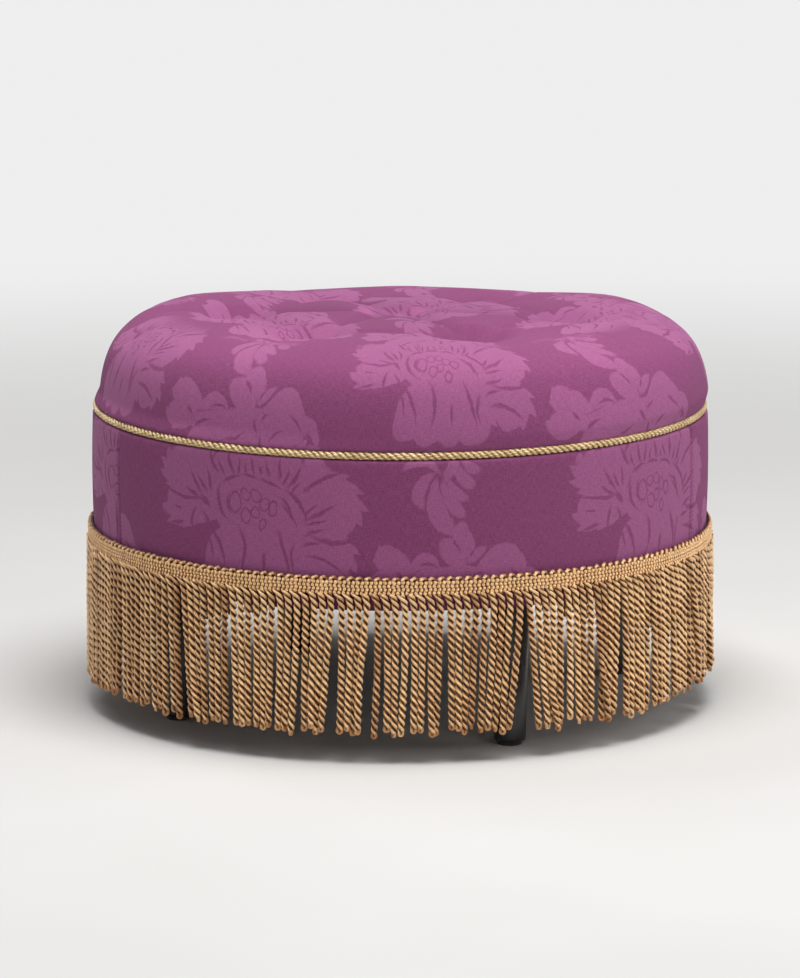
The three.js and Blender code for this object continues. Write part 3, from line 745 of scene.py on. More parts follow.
def stitch(n, m, start_a, start_b):
    """Triangles between ring a of n points and the ring b of m points outside it."""
    a, b, faces = 0, 0, []
    while a < n or b < m:
        if b >= m or (a < n and (a + 1) * m <= (b + 1) * n):
            faces.append((start_a + a % n, start_b + b % m, start_a + (a + 1) % n))
            a += 1
        else:
            faces.append((start_a + a % n, start_b + b % m, start_b + (b + 1) % m))
            b += 1
    return faces


def ring_sheet(step, most):
    """Arc lengths, azimuths and triangles of an even mesh of rings over the crown."""
    rings = int(round(CROWN_LENGTH / step))
    lengths, azimuths, faces = [0.0], [0.0], []
    starts, counts = [0], [1]
    for k in range(1, rings + 1):
        count = min(6 * k, most)
        starts.append(len(lengths))
        counts.append(count)
        lengths += [k * CROWN_LENGTH / rings] * count
        azimuths += list(np.arange(count) * TURN / count)
        if k == 1:
            faces += [(0, 1 + j, 1 + (j + 1) % count) for j in range(count)]
        else:
            faces += stitch(counts[-2], count, starts[-2], starts[-1])
    return np.array(lengths), np.array(azimuths), np.array(faces), counts[-1]


def lining_sheet():
    """A coarser sheet for what lies under the cover."""
    return ring_sheet(6.0, 126)


def normals_of(points, faces):
    """Vertex normals of triangles."""
    a, b, c = (points[faces[:, i]] for i in range(3))
    flat = np.cross(b - a, c - a)
    out = np.zeros_like(points)
    for i in range(3):
        for k in range(3):
            out[:, k] += np.bincount(faces[:, i], flat[:, k], len(points))
    return out / np.maximum(np.linalg.norm(out, axis=1, keepdims=True), 1e-12)


CLOTH_STEP = 7.0
CLOTH_FRAMES = 20
CLOTH_SLACK = 5.0
CLOTH_CAP = 8.0
CLOTH_HELD = 14.0


def blown_up():
    """Simulates the cover as cloth that is held at the seam and at the buttons and blown up from
    inside. Returns a tree of its places and how far each moves from the drawn shape."""
    lengths, azimuths, faces, edge = ring_sheet(CLOTH_STEP, 300)
    drawn, free = crown_surface(lengths, azimuths)
    start = drawn.copy()
    start[:, 2] -= CLOTH_SLACK * free
    gap = np.sqrt(((drawn[:, None, :2] - TUFTS[None]) ** 2).sum(-1)).min(1)
    held = (gap < CLOTH_HELD) | (lengths > CROWN_LENGTH - 2.5 * CLOTH_STEP)
    middle = len(start)
    ring = np.arange(middle - edge, middle)
    base = np.stack([ring, np.full(edge, middle), np.roll(ring, -1)], 1)
    points = np.concatenate([start, [[0.0, 0.0, SEAM_HEIGHT]]])
    mesh = bpy.data.meshes.new("blown")
    mesh.from_pydata((points * MM).tolist(), [], np.concatenate([faces, base]).tolist())
    cloth_thing = bpy.data.objects.new("blown", mesh)
    scene = bpy.context.scene
    scene.collection.objects.link(cloth_thing)
    group = cloth_thing.vertex_groups.new(name="held")
    group.add([int(i) for i in np.flatnonzero(held)] + [middle], 1.0, "REPLACE")
    cloth = cloth_thing.modifiers.new("cloth", "CLOTH")
    settings = cloth.settings
    settings.quality = 6
    settings.mass = 0.2
    settings.tension_stiffness = 18
    settings.compression_stiffness = 12
    settings.shear_stiffness = 8
    settings.bending_stiffness = 0.6
    settings.use_pressure = True
    settings.uniform_pressure_force = 4.0
    settings.vertex_group_mass = "held"
    settings.effector_weights.gravity = 0
    cloth.point_cache.frame_start = 1
    cloth.point_cache.frame_end = CLOTH_FRAMES
    for step in range(1, CLOTH_FRAMES + 1):
        scene.frame_set(step)
    done = cloth_thing.evaluated_get(bpy.context.evaluated_depsgraph_get()).data
    moved = np.empty(len(points) * 3, np.float32)
    done.vertices.foreach_get("co", moved)
    moved = moved.reshape(-1, 3)[:middle] / MM - drawn
    far = np.linalg.norm(moved, axis=1, keepdims=True)
    moved *= np.minimum(1, CLOTH_CAP / np.maximum(far, 1e-6))
    bpy.data.objects.remove(cloth_thing)
    scene.frame_set(1)
    tree = KDTree(middle)
    for i, place in enumerate(drawn):
        tree.insert(place, i)
    tree.balance()
    return tree, moved


BLOWN = blown_up()


def crown_points(length, azimuth):
    """Points of the crown with what the cloth simulation adds."""
    points, _ = crown_surface(length, azimuth)
    if BLOWN is None:
        return points
    tree, moved = BLOWN
    add = np.zeros_like(points)
    for i, place in enumerate(points):
        found = tree.find_n(place, 7)
        weights = np.exp(-(np.array([f[2] for f in found]) / CLOTH_STEP) ** 2) + 1e-9
        add[i] = weights @ moved[[f[1] for f in found]] / weights.sum()
    return points + add


def hoop(upper, lower, count):
    """Triangles between two rings of as many points."""
    j = np.arange(count)
    k = (j + 1) % count
    return np.concatenate([np.stack([upper + j, lower + j, lower + k], 1),
                           np.stack([upper + j, lower + k, upper + k], 1)])


def add_rings(points, faces, ring, profile):
    """Points and faces with rings of a profile added after the last ring, and where the last of
    them starts."""
    count = len(ring)
    start = len(points) - count
    for radius, height in profile:
        faces = np.concatenate([faces, hoop(start, len(points), count)])
        start = len(points)
        points = np.concatenate([points, polar(ring, radius, height)])
    return points, faces, start


def top_cover():
    """The damask over the seat, turned in over the seam cord, with a skirt behind the band."""
    lengths, azimuths, faces, edge = ring_sheet(STEP, 756)
    points = crown_points(lengths, azimuths)
    # the turn under the crown and the skirt, and how far each ring lies along the cloth
    turned = [(302.6, 301.9), (300.2, 301.2), (297.9, 300.2), (SKIRT_OUTER, 297.5),
              (SKIRT_OUTER, 286.0), (SKIRT_OUTER, SKIRT_BOTTOM)]
    past = CROWN_LENGTH + np.array([2.4, 4.8, 7.2, 10.0, 21.5, 33.5])
    ring = azimuths[-edge:]
    points, faces, start = add_rings(points, faces, ring, turned)
    length = np.concatenate([lengths, np.repeat(past, edge)])
    azimuth = np.concatenate([azimuths, np.tile(ring, len(turned))])
    # the inner face, of fewer rings
    lengths, azimuths, in_faces, in_edge = lining_sheet()
    inner = crown_points(lengths, azimuths)
    inner -= FABRIC * normals_of(inner, in_faces)
    lining = [(301.2, 303.3), (SKIRT_OUTER - FABRIC, 301.6), (SKIRT_OUTER - FABRIC, SKIRT_BOTTOM)]
    inner, in_faces, in_start = add_rings(inner, in_faces, azimuths[-in_edge:], lining)
    base = len(points)
    rim = np.array(stitch(in_edge, edge, base + in_start, start))
    faces = np.concatenate([faces, in_faces[:, ::-1] + base, rim])
    hidden = np.zeros_like(inner)
    flat = polar(azimuth, length, 0.0)[:, :2]
    on_wall = np.concatenate([wall_place(length, azimuth), hidden])
    fields = {"cloth": unrolled(on_wall, faces),
              "cloth_top": np.concatenate([top_place(*flat.T), hidden]),
              "top_share": np.concatenate([top_share(length), hidden[:, 0]])}
    piece = make_piece("top_cover_damask", np.concatenate([points, inner]), [faces], damask_crown,
                       "top_cover", fields=fields)


def seat_layer(name, outside, inside, material, node, solid=False):
    """A layer under the cover, outside and inside below it: a shell, or, if it is solid, filled
    down to the height inside."""
    lengths, azimuths, faces, edge = lining_sheet()
    shape = crown_points(lengths, azimuths)
    lean = normals_of(shape, faces)
    ring = azimuths[-edge:]
    at = np.interp(-(LAYER_FOOT + outside), -LINE[2], LINE[0])
    foot = crown_surface(at, ring)[0]
    foot = np.hypot(foot[:, 0], foot[:, 1])
    upper = shape - outside * lean
    upper[-edge:] = polar(ring, foot - outside - 0.4, LAYER_FOOT + outside)
    base = len(upper)
    if solid:
        step_in = LAYER_FOOT - 0.1
        points, faces, start = add_rings(upper, faces, ring, [
            (foot - outside - 0.4, step_in), (WALL_OUTER, step_in), (WALL_OUTER, inside)])
        j = np.arange(edge)
        middle = np.full(edge, len(points))
        faces = np.concatenate([faces, np.stack([start + j, middle, start + (j + 1) % edge], 1)])
        points = np.concatenate([points, [[0.0, 0.0, inside]]])
    else:
        lower = shape - inside * lean
        lower[-edge:] = polar(ring, foot - inside, LAYER_FOOT + outside)
        points = np.concatenate([upper, lower])
        rim = hoop(base - edge, 2 * base - edge, edge)
        faces = np.concatenate([faces, faces[:, ::-1] + base, rim])
    piece = make_piece(name, points, [faces], material, node)


# Band of the drum


def band_swell(height):
    """How far the padding swells the band out, from the fringe up to the cord."""
    share = np.clip((height - HEADER_TOP) / (BAND_TOP - HEADER_TOP), 0, 1)
    return BAND_SWELL * np.sin(share * math.pi) ** 0.7


def band_outline():
    """Radius and height of the band's outer face from its edge under the cord to its hem, the
    same of its inner face, and the length along it."""
    outline = [(PADDING_LAP, BAND_TOP), (301.0, BAND_TOP), (303.2, BAND_TOP - 0.35),
               (304.4, BAND_TOP - 1.4), (304.9, BAND_TOP - 3.2)]
    outline += [(305.0, z) for z in np.arange(BAND_TOP - 5.5, BODY_BOTTOM + 3.0, -STEP)]
    outline += [(304.9, 150.4), (304.3, 149.2), (303.2, 148.5), (301.5, HEM_BOTTOM)]
    outline += [(r, HEM_BOTTOM) for r in np.arange(299.0, HEM_INNER + 1, -3.0)]
    outline = np.array(outline + [(HEM_INNER, HEM_BOTTOM)])
    length = np.concatenate([[0], np.cumsum(np.hypot(*np.diff(outline, axis=0).T))])
    lean = np.gradient(outline, axis=0)
    lean = np.stack([-lean[:, 1], lean[:, 0]], 1)
    lean /= np.linalg.norm(lean, axis=1, keepdims=True)
    return outline, outline - lean * FABRIC, length


def band_panel(name, start, end, node):
    """A panel of damask round the drum, turned in under the cord and under the base."""
    outline, inner, length = band_outline()
    count = int(round((end - start) * BODY_RADIUS / STEP))
    turns = np.linspace(start + 0.25 / BODY_RADIUS, end - 0.25 / BODY_RADIUS, count + 1)
    from_end = np.minimum(turns - turns[0], turns[-1] - turns) * BODY_RADIUS
    roll = 1.3 * np.exp(-(from_end / 1.6) ** 2)
    profile = np.concatenate([outline, inner[::-1]])
    radius, height = (np.tile(profile[:, i], (len(turns), 1)) for i in (0, 1))
    side = (height > BODY_BOTTOM) & (height < BAND_TOP - 1)
    near_cord = np.exp(-(BAND_TOP - height) / 9.0)
    pucker = 0.35 * near_cord * np.sin(turns * 95 + 2 * np.sin(turns * 17))[:, None]
    wander = 0.5 * np.sin(turns * 5 + 1)[:, None] * np.sin((height - HEADER_TOP) / 60)
    radius += side * (band_swell(height) + pucker + wander - roll[:, None])
    points = polar(turns[:, None], radius, height)
    quads, _ = grid_faces(len(turns), len(profile), False, True)
    n, last = len(outline), (len(turns) - 1) * len(profile)
    strip = np.arange(n - 1)
    back = 2 * n - 1 - strip
    caps = np.stack([strip, strip + 1, back - 1, back], 1)
    faces = [quads[:, ::-1], caps, caps[:, ::-1] + last]
    across, along = np.meshgrid(turns * BODY_RADIUS, BAND_TOP - np.append(length, length[::-1]) + 7.5,
                                indexing="ij")
    cloth = np.stack([across, along, np.zeros_like(across)], -1).reshape(-1, 3)
    piece = make_piece(name, points.reshape(-1, 3), faces, damask, node,
                       fields={"cloth": cloth})


def band_stitches():
    """Topstitching on each side of the two seams of the band."""
    along = np.linspace(-1, 1, 7)
    rise = 0.75 * (1 - along ** 4) - 0.45
    lines = []
    for seam in (LEFT_SEAM, RIGHT_SEAM):
        for side in (-4.2, 4.2):
            for z in np.arange(187.0, 289.0, 4.2):
                radius = BODY_RADIUS + band_swell(z) + rise
                lines.append(polar(seam + side / BODY_RADIUS, radius, z + 1.45 * along))
    points, faces, uv = small_tubes(np.array(lines), 0.3)
    make_piece("band_stitches", points, faces, thread, uv=uv)


STAPLE_RING = 281.5
STAPLE_HEIGHT = 146.9
STAPLE_COUNT = 64


def staples():
    """Wire staples that hold the dust cover."""
    draw = np.random.default_rng(7)
    bend = np.array([(-4.6, 1.3), (-4.6, 0.2), (-4.3, -0.25), (-1.5, -0.3), (1.5, -0.3), (4.3, -0.25),
                     (4.6, 0.2), (4.6, 1.3)])
    lines = []
    turns = np.arange(STAPLE_COUNT) * TURN / STAPLE_COUNT
    for turn in turns + draw.normal(0, 0.006, STAPLE_COUNT):
        skew = draw.normal(0, 0.18)
        radius = STAPLE_RING + draw.normal(0, 0.8) + bend[:, 0] * math.sin(skew)
        turn = turn + bend[:, 0] * math.cos(skew) / STAPLE_RING
        lines.append(polar(turn, radius, STAPLE_HEIGHT + bend[:, 1]))
    points, faces, uv = small_tubes(np.array(lines), 0.38)
    make_piece("dust_cover_staples", points, faces, zinc, uv=uv)


def side_padding():
    top = BAND_TOP - FABRIC - FIT
    outer = BODY_RADIUS - FABRIC - FIT
    inner = WALL_OUTER + 0.8
    outline = [(inner, BODY_BOTTOM), (outer - 2, BODY_BOTTOM), (outer, BODY_BOTTOM + 2)]
    outline += [(outer, z) for z in np.arange(158.0, top - 6, 8.0)]
    outline += [(outer, top - 2.5), (outer - 2.5, top), (PADDING_LAP, top),
                (PADDING_LAP, SKIRT_BOTTOM - FIT), (inner, SKIRT_BOTTOM - FIT)]
    points, quads = revolve(outline, 180, TUFT_AZIMUTH)
    piece = make_piece("side_padding_layer", points, [quads], wadding_white, "side_padding")


# Cord and fringe


def seam_cord():
    """The cord round the seam: three plies of three yarns each."""
    steps, plies, lays = 1260, 3, 96
    ply_offset, ply_radius = 1.95, 1.92
    turns = np.arange(steps) * TURN / steps
    centre = polar(turns, CORD_RING, SEAM_HEIGHT)
    outward = polar(turns, 1.0, 0.0)
    upward = np.array([0.0, 0.0, 1.0])
    loose = 0.12 * np.sin(turns * 31 + 1.3) + 0.1 * np.sin(turns * 53)
    lines = []
    for ply in range(plies):
        phase = -turns * lays + ply * TURN / plies + 0.5 * np.sin(turns * 11)
        lines.append(centre + outward * (ply_offset * np.cos(phase) + loose)[:, None]
                     + upward * (ply_offset * np.sin(phase) + loose * 0.5)[:, None])
    section = lobed_section(ply_radius, 0.20)
    spin = np.broadcast_to(turns * lays * 1.5, (plies, steps))
    points, faces, uv = tubes(np.stack(lines), section, closed=True, spin=spin)
    # painted highlight on the plies' crests and painted shade in their hollows, by distance from the
    # cord's middle
    away = np.hypot(np.hypot(points[:, 0], points[:, 1]) - CORD_RING, points[:, 2] - SEAM_HEIGHT)
    crest_painted_light = np.clip((away - 2.0) / 1.75, 0, 1)
    tone = 0.06 * np.sin(np.arange(len(points)) * 0.011)
    make_piece("seam_cord_twist", points, faces, pale_gold, "seam_cord", uv,
               {"crest_painted_light": crest_painted_light, "tone": tone})


def fringe_drift(azimuth):
    """How far the feet of the fringe's cords sway sideways: they part over the front right leg."""
    wrapped = (azimuth + math.pi) % TURN - math.pi
    away = wrapped - PARTING_AZIMUTH
    sway = SWAY_REACH * np.sin(wrapped * SWAY_WAVES)
    return sway + PARTING_REACH * np.sign(away) * np.exp(-np.abs(away) / PARTING_SPREAD)


LEVELS = 16
CORD_WIDTH = 6.7
PUSHES = 160
LARGEST_RING = 317.0
STRAY_SIDE = 2.8
STRAY_BEND = 2.0
STRAY_OUT = 1.6
STRAY_FOOT = 1.4
PARTING_CLEAR = 0.09
STRAGGLER_OUT = 4.5


def pushed_apart(side, out, base, fall):
    """Cords that push their neighbours aside until they no longer run through each other."""
    period = TURN * STRAND_RING
    even = np.where(np.arange(len(base)) % 2, 0.4, -0.4)[:, None]
    for _ in range(PUSHES):
        for k in (1, 2, 3):
            ds = (np.roll(side, -k, 0) - side + period / 2) % period - period / 2
            dr = np.roll(out, -k, 0) - out
            push = np.clip(CORD_WIDTH - np.hypot(ds, dr), 0, None) / 4
            tilt = np.where(np.abs(dr) < 0.05, even, dr) * 1.6
            unit = np.hypot(ds, tilt) + 1e-6
            move_s, move_r = push * ds / unit, push * tilt / unit
            side += np.roll(move_s, k, 0) - move_s
            out += np.roll(move_r, k, 0) - move_r
        out += (STRAND_RING + 0.8 - out) * 0.02
        side[:, 0], out[:, 0] = base * STRAND_RING, STRAND_RING
        for places in (side, out):
            places[:, 1:-1] += 0.12 * (places[:, 2:] + places[:, :-2] - 2 * places[:, 1:-1])
        out = np.clip(out, BODY_RADIUS + 3.4 - 6.0 * fall, LARGEST_RING)
    return side, out


def fringe_layout():
    """Where each cord of the fringe hangs: its sideways place and distance out at each level, the
    height of its foot, the turn at which its twist starts, and how light or dark it is."""
    draw = np.random.default_rng(41)
    n = STRAND_COUNT
    base = FRINGE_JOINT + (np.arange(n) + 0.5) * TURN / n
    fall = np.linspace(0, 1, LEVELS)
    lean = fringe_drift(base)
    groups = np.cumsum(draw.choice([1, 2, 2, 3, 4], n))
    member = np.searchsorted(groups, np.arange(n), side="right")
    clump = np.array([np.mean(np.flatnonzero(member == g)) for g in member]) - np.arange(n)
    wrapped = (base + math.pi) % TURN - math.pi
    parted = np.exp(-((wrapped - PARTING_AZIMUTH) / PARTING_CLEAR) ** 2)
    gather = draw.uniform(0.2, 0.6, member.max() + 1)[member] * (1 - parted)
    stray = draw.normal(0, STRAY_SIDE, n) * (1 - parted)
    bend = draw.normal(0, STRAY_BEND, n)
    pitch = TURN * STRAND_RING / n
    side = (lean + clump * gather * pitch + stray)[:, None] * fall ** 1.25
    side += bend[:, None] * np.sin(fall * math.pi)
    side += base[:, None] * STRAND_RING
    out = STRAND_RING + draw.normal(0, STRAY_OUT, n)[:, None] * fall
    side, out = pushed_apart(side, out, base, fall)
    stray_length = STRAND_STRAY * np.sin(np.arange(n, dtype=float) ** 2)
    bottoms = STRAND_BOTTOM + stray_length + draw.normal(0, STRAY_FOOT, n)
    around = np.degrees(wrapped)
    right = np.clip((around - 45) / 30, 0, 1) * np.clip((150 - around) / 40, 0, 1)
    bottoms += RIGHT_LIFT * eased(right)
    # one cord crosses in front of its neighbours
    loose = int(np.abs(wrapped - STRAGGLER).argmin())
    side[loose] += STRAGGLER_LEAN * fall ** 1.3
    out[loose] += STRAGGLER_OUT * np.sin(np.clip(fall * 1.6, 0, 1) * math.pi / 2)
    return side, out, bottoms, draw.uniform(0, TURN, n), draw.normal(0, 0.10, n)


PLY_OFFSET = 2.08
PLY_RADIUS = 1.48
# radius of a thin core yarn that stands in for the shade between a cord's plies
SHADE_CORE_RADIUS = 0.95
LAY = 14.8
DOWN_STEPS = 112
LOOP_STEPS = 9
STRAND_TOP = 166.0
STRAND_SIDES = 12
FOOT_RISE = 4.2
FOOT_DROP = 3.4
HOOK_SIDE = 5.5


def strand_lines(chosen, layout):
    """The yarn of each chosen cord, which goes down as one ply, round a small loop and up as the
    other: its points, the way out from the cord's middle and the cord's middle."""
    side, out, bottoms, phase, _ = layout
    low = bottoms[chosen] + FOOT_RISE
    height = STRAND_TOP + (low[:, None] - STRAND_TOP) * np.linspace(0, 1, DOWN_STEPS)
    fallen = STRAND_TOP - height
    at = np.clip(fallen / (STRAND_TOP - STRAND_BOTTOM), 0, 1) * (LEVELS - 1)
    cell = np.minimum(at.astype(int), LEVELS - 2)
    share = eased(at - cell)
    rows = np.arange(len(chosen))[:, None]
    s, r = side[chosen], out[chosen]
    hook = np.exp(-fallen / 5.0)
    arc = s[rows, cell] * (1 - share) + s[rows, cell + 1] * share - HOOK_SIDE * hook
    ring = r[rows, cell] * (1 - share) + r[rows, cell + 1] * share + 0.4 * hook
    phase = phase[chosen][:, None]
    spin = phase + TURN * fallen / LAY + 0.5 * np.sin(fallen / 17.0 + 3 * phase)
    turns = arc / STRAND_RING
    outward = polar(turns, 1.0, 0.0)
    across = polar(turns + math.pi / 2, 1.0, 0.0)
    centre = polar(turns, ring, height)
    way = outward * np.cos(spin)[..., None] + across * np.sin(spin)[..., None]
    loose = PLY_OFFSET * (1 + 0.07 * np.sin(fallen / 9.0 + 5 * phase))[..., None]
    bend = np.linspace(0, math.pi, LOOP_STEPS + 2)[1:-1][None, :, None]
    last = way[:, -1:]
    down = np.array([0, 0, -1.0]) * np.sin(bend)
    loop_way = last * np.cos(bend) + down
    swell = (1 + 0.45 * np.sin(bend)) * loose[:, -1:] * np.cos(bend)
    loop = centre[:, -1:] + last * swell + FOOT_DROP * down
    points = np.concatenate([centre + loose * way, loop, (centre - loose * way)[:, ::-1]], 1)
    middle = np.concatenate([centre, np.repeat(centre[:, -1:], LOOP_STEPS, 1), centre[:, ::-1]], 1)
    return points, np.concatenate([way, loop_way, -way[:, ::-1]], 1), middle, centre


def fringe_strands(name, chosen, layout, node):
    """Some of the fringe's cords, two plies each, that end in a loop."""
    lines, way, middle, centre = strand_lines(chosen, layout)
    count, steps = lines.shape[:2]
    section = lobed_section(PLY_RADIUS, 0.2, STRAND_SIDES)
    spin = np.broadcast_to(np.linspace(0, 1.5 * TURN, steps), (count, steps))
    plies = tubes(lines, section, up=way, spin=spin)
    # a thin core yarn inside each cord, coloured dark as painted shade in the gap between its plies
    shade_core = small_tubes(centre[:, :-3], SHADE_CORE_RADIUS)
    points, faces, uv = join([plies, shade_core])
    body = points[: count * steps * STRAND_SIDES].reshape(count, steps, STRAND_SIDES, 3)
    # painted highlight on the plies' crests and painted shade in their hollows, by distance from the
    # cord's middle; the loops get a fixed mid share and the core a low share, painted shade
    away = np.linalg.norm((body - middle[:, :, None])[..., :2], axis=-1)
    crest_painted_light = np.clip((away - 1.3) / 2.0, 0, 1)
    crest_painted_light[:, DOWN_STEPS - 1: DOWN_STEPS + LOOP_STEPS + 1] = 0.7
    rest = np.zeros(len(points) - crest_painted_light.size)
    crest_painted_light = np.concatenate([crest_painted_light.ravel(), rest + 0.15])
    tone = np.concatenate([np.repeat(layout[4][chosen], steps * STRAND_SIDES), rest])
    make_piece(name, points, faces, gold, node, uv, {"crest_painted_light": crest_painted_light, "tone": tone})


LOOP_HEIGHT = 2.7
LOOP_WIDTH = 2.75
LOOP_YARN = 1.62
KNIT_HEIGHT = 13.2
STITCHES = 4
STITCH_SIDES = 8


def header_loops(units, draw):
    """The loops along the top of the header."""
    count = len(units)
    bend = np.linspace(-0.45, math.pi + 0.45, 15)
    tall = LOOP_HEIGHT + draw.normal(0, 0.35, count)
    wide = LOOP_WIDTH + draw.normal(0, 0.16, count)
    lean = draw.normal(0, 0.4, count)
    z = HEADER_TOP - 4.7 + tall[:, None] * np.sin(bend)
    s = -wide[:, None] * np.cos(bend) + lean[:, None] * np.sin(bend)
    r = HEADER_RING + 0.2 + 1.3 * np.cos(bend)
    knobs = 1.0 + 0.16 * np.cos(bend * 5.0 + draw.uniform(0, TURN, (count, 1)))
    section = lobed_section(LOOP_YARN, 0.16) * knobs[..., None, None]
    return tubes(polar(units[:, None] + s / HEADER_RING, r, z), section, up=(0.2, 0.1, 0.97))


def header_stitches(columns, draw):
    """Columns of knitted stitches under the loops."""
    rows = np.linspace(0, 1, STITCHES * 6 + 1)
    z = HEADER_TOP - 4.8 - rows * KNIT_HEIGHT + draw.normal(0, 0.25, len(columns))[:, None]
    beat = np.abs(np.sin(rows * STITCHES * math.pi))
    bead = (1.0 + 1.15 * beat ** 0.7) * (1 + draw.normal(0, 0.05, (len(columns), 1)))
    zig = 0.45 * np.cos(np.floor(rows * STITCHES * 0.999) * math.pi)
    lines = polar(columns[:, None] + zig / HEADER_RING, HEADER_RING + 0.3 + 0.5 * beat, z)
    return tubes(lines, bead[..., None, None] * circle(STITCH_SIDES), up=(0.5, 0.3, 0.1))


def header_tape(start, end, count):
    """The tape that the stitches lie on."""
    turns = np.linspace(start + 0.0006, end - 0.0006, count * 2 + 1)
    profile = np.array([(305.35, 164.2), (307.4, 164.2), (307.7, 165.5), (307.7, 178.0),
                        (307.2, 179.6), (305.35, 179.6)])
    tape = polar(turns[:, None], profile[None, :, 0], profile[None, :, 1])
    quads, shares = grid_faces(len(turns), len(profile), False, True)
    uv = np.stack([shares[:, ::-1, 1] / len(profile), shares[:, ::-1, 0] * 4.3], -1)
    last = (len(turns) - 1) * len(profile)
    cap = np.array([[0, 1, 2, 3], [0, 3, 4, 5]])
    return (tape.reshape(-1, 3), [quads[:, ::-1], cap, cap[:, ::-1] + last],
            np.concatenate([uv.reshape(-1, 2), np.zeros((16, 2))]))


def fringe_header(name, first, count, node):
    """The knitted head of a quarter of the fringe."""
    pitch = TURN / STRAND_COUNT
    start = FRINGE_JOINT + first * pitch
    units = start + (np.arange(count) + 0.5) * pitch
    columns = np.concatenate([units - pitch * 0.25, units + pitch * 0.25])
    draw = np.random.default_rng(100 + first)
    points, faces, uv = join([header_loops(units, draw), header_stitches(columns, draw),
                              header_tape(start, start + count * pitch, count)])
    # painted highlight on the outer faces of the loops and stitches and painted shade nearer the
    # tape, by distance out
    radius = np.hypot(points[:, 0], points[:, 1])
    crest_painted_light = np.clip((radius - HEADER_RING + 0.1) / 2.5, 0, 1)
    tone = np.full(len(points), 0.02)
    make_piece(name, points, faces, gold, node, uv, {"crest_painted_light": crest_painted_light, "tone": tone})


def fringe():
    layout = fringe_layout()
    per = STRAND_COUNT // len(QUARTERS)
    for q, quarter in enumerate(QUARTERS):
        node = f"fringe_{quarter}"
        fringe_header(f"fringe_header_{quarter}", q * per, per, node)
        for half in range(2):
            first = q * per + half * per // 2
            chosen = np.arange(first, first + per // 2)
            fringe_strands(f"fringe_cords_{quarter}_{half + 1}", chosen, layout, node)


# Legs and underside


def legs():
    """Turned legs that taper to the foot, each with a blind hole for its bolt."""
    outline = [(0, 3.3), (12.6, 3.3), (13.8, 3.6), (14.9, 4.5), (15.5, 5.8), (15.6, 7.0)]
    outline += [(15.6 + 3.9 * s, 5.7 + 142.9 * s) for s in np.linspace(0.05, 0.98, 12)]
    outline += [(19.4, 147.9), (18.9, 148.6), (4.3, 148.6), (4.3, 112.0), (0, 112.0)]
    points, faces = lathe(outline, 72)
    for n, name in enumerate(LEG_NAMES):
        place = polar(LEG_AZIMUTH + n * TURN / 4, LEG_CIRCLE, 0.0)
        make_piece(f"leg_turned_{name}", points + place, faces, black_wood, f"leg_{name}")


def dust_cover():
    outline = [(0.0, 148.9), (140.0, 148.9), (272.0, 148.9), (276.2, 147.4), (287.0, 147.2),
               (287.2, 147.6), (287.0, 148.0), (276.7, 148.0), (274.0, 149.7), (140.0, 149.7),
               (0.0, 149.7)]
    points, faces = lathe(outline, 180)
    piece = make_piece("dust_cover_cloth", points, faces, cambric, "dust_cover")


def buttons():
    """Covered buttons, each in the damask of its place."""
    outline = [(0, 0), (3.0, 0), (3.2, 1.4), (8.0, 1.6), (9.7, 2.4), (10.0, 3.3), (9.6, 4.6),
               (8.0, 6.1), (5.4, 7.1), (0, 7.5)]
    points, faces = lathe(outline, 48)
    for n, (x, y) in enumerate(TUFTS, 1):
        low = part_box(f"tuft_button_{n}")[0].z / MM
        make_piece(f"tuft_button_cover_{n}", points + (x, y, low), faces, damask,
                   f"tuft_button_{n}", fields={"cloth": points * (1, 1, 0) + top_place(x, y)})


def dress_nodes():
    """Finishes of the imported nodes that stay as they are."""
    finishes = {"base_board": plywood, "top_deck": plywood, "side_wall": hardboard,
                "frame_post": plywood, "tuft_twine": twine_yarn, "tuft_washer": zinc,
                "leg_bolt": zinc, "leg_nut": zinc, "leg_glide": felt}
    for name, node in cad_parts.items():
        for start, finish in finishes.items():
            if name.startswith(start):
                node.data.materials.clear()
                node.data.materials.append(finish)


# Stage

PALE = (0.86, 0.86, 0.86, 1.0)


def area_light(name, place, target, size, power):
    lamp = bpy.data.lights.new(name, "AREA")
    lamp.shape = "RECTANGLE"
    lamp.size, lamp.size_y = size
    lamp.energy = power
    thing = bpy.data.objects.new(name, lamp)
    thing.location = place
    thing.rotation_euler = (Vector(target) - Vector(place)).to_track_quat("-Z", "Y").to_euler()
    bpy.context.scene.collection.objects.link(thing)


def seen_directly(t):
    """1 for rays from the camera, and those mirrored or let through."""
    path = t.add("ShaderNodeLightPath").node.outputs
    mirrored = t.math("MAXIMUM", path["Is Glossy Ray"], path["Is Transmission Ray"])
    return t.math("MAXIMUM", path["Is Camera Ray"], mirrored)


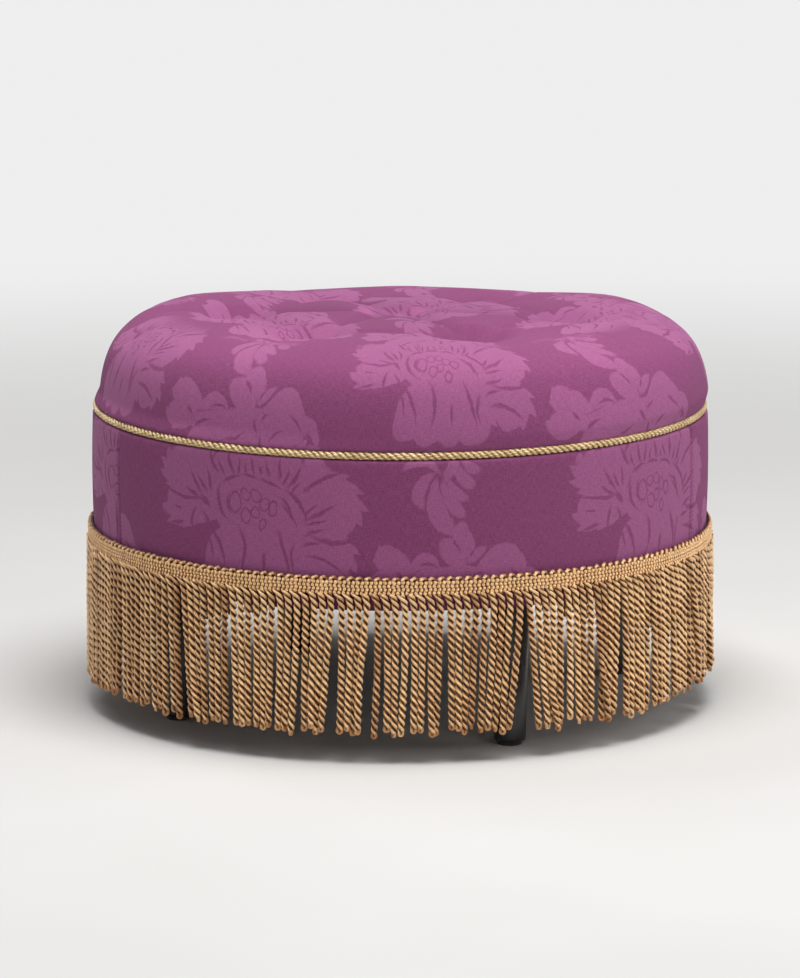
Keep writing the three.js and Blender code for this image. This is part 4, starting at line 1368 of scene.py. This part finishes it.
def floor():
    """A pale floor that keeps the shadow near the object and fades into the background."""
    floor_material, t, shader = new_material("floor")
    place = t.add("ShaderNodeTexCoord", out=3)
    shade = t.noise(place, 3.0, 2.0)
    t.fill(shader, {
        "Base Color": t.mix(shade, linear(198, 197, 194), linear(206, 205, 203)),
        "Roughness": 0.9,
        "Specular IOR Level": 0.1,
    })
    glow = t.add("ShaderNodeEmission", {"Color": PALE})
    reach = t.vector("LENGTH", {0: place}, out=1)
    share = t.times(t.ramp(reach, 0.8, 3.0), seen_directly(t))
    faded = t.add("ShaderNodeMixShader", {0: share, 1: shader.outputs[0], 2: glow})
    t.fill(t.tree.nodes["Material Output"], {"Surface": faded})
    mesh = bpy.data.meshes.new("floor")
    far = 40.0
    corners = [(-far, -far, 0), (far, -far, 0), (far, far, 0), (-far, far, 0)]
    mesh.from_pydata(corners, [], [(0, 1, 2, 3)])
    mesh.materials.append(floor_material)
    thing = bpy.data.objects.new("floor", mesh)
    bpy.context.scene.collection.objects.link(thing)


def studio():
    """Background and lights."""
    world = bpy.data.worlds.new("studio")
    bpy.context.scene.world = world
    world.use_nodes = True
    t = Tree(world.node_tree)
    colour = t.mix(seen_directly(t), (0.20, 0.20, 0.207, 1), PALE)
    t.fill(world.node_tree.nodes["Background"], {"Color": colour, "Strength": 1.0})
    area_light("overhead", (0.3, -0.65, 2.9), (0, 0, 0.35), (1.7, 1.7), 103)
    area_light("back_left", (-1.2, 1.0, 2.6), (-0.1, 0, 0.38), (1.4, 1.4), 19)
    area_light("front_fill", (2.4, -3.8, 1.5), (0, 0, 0.2), (2.0, 2.0), 29)
    area_light("right_side", (3.2, 0.3, 1.2), (0, 0, 0.25), (1.4, 1.8), 24)
    area_light("left_side", (-3.2, 0.6, 1.2), (0, 0, 0.25), (1.4, 1.8), 4)


def photo_camera():
    """The camera of the photo."""
    camera = bpy.data.cameras.new("camera")
    camera.lens = 239.98
    camera.sensor_width = 36.0
    camera.clip_start, camera.clip_end = 0.1, 100.0
    eye = bpy.data.objects.new("camera", camera)
    eye.location = (0.0, -6.3874, 1.4046)
    eye.rotation_mode = "QUATERNION"
    eye.rotation_quaternion = (Vector((0.0, 0.0, 0.2101)) - eye.location).to_track_quat("-Z", "Y")
    bpy.context.scene.collection.objects.link(eye)
    bpy.context.scene.camera = eye
    bpy.context.scene.view_settings.view_transform = "Standard"


floor()
studio()
photo_camera()
top_cover()
seat_layer("seat_wadding_layer", FABRIC + FIT, FABRIC + FIT + WADDING, wadding_white,
           "seat_wadding")
seat_layer("seat_foam_layer", FABRIC + 2 * FIT + WADDING, 290.3, foam, "seat_foam",
           solid=True)
side_padding()
band_panel("band_panel_front", LEFT_SEAM, RIGHT_SEAM, "side_cover_front")
band_panel("band_panel_back", RIGHT_SEAM, LEFT_SEAM + TURN, "side_cover_back")
band_stitches()
seam_cord()
fringe()
legs()
dust_cover()
staples()
buttons()
dress_nodes()
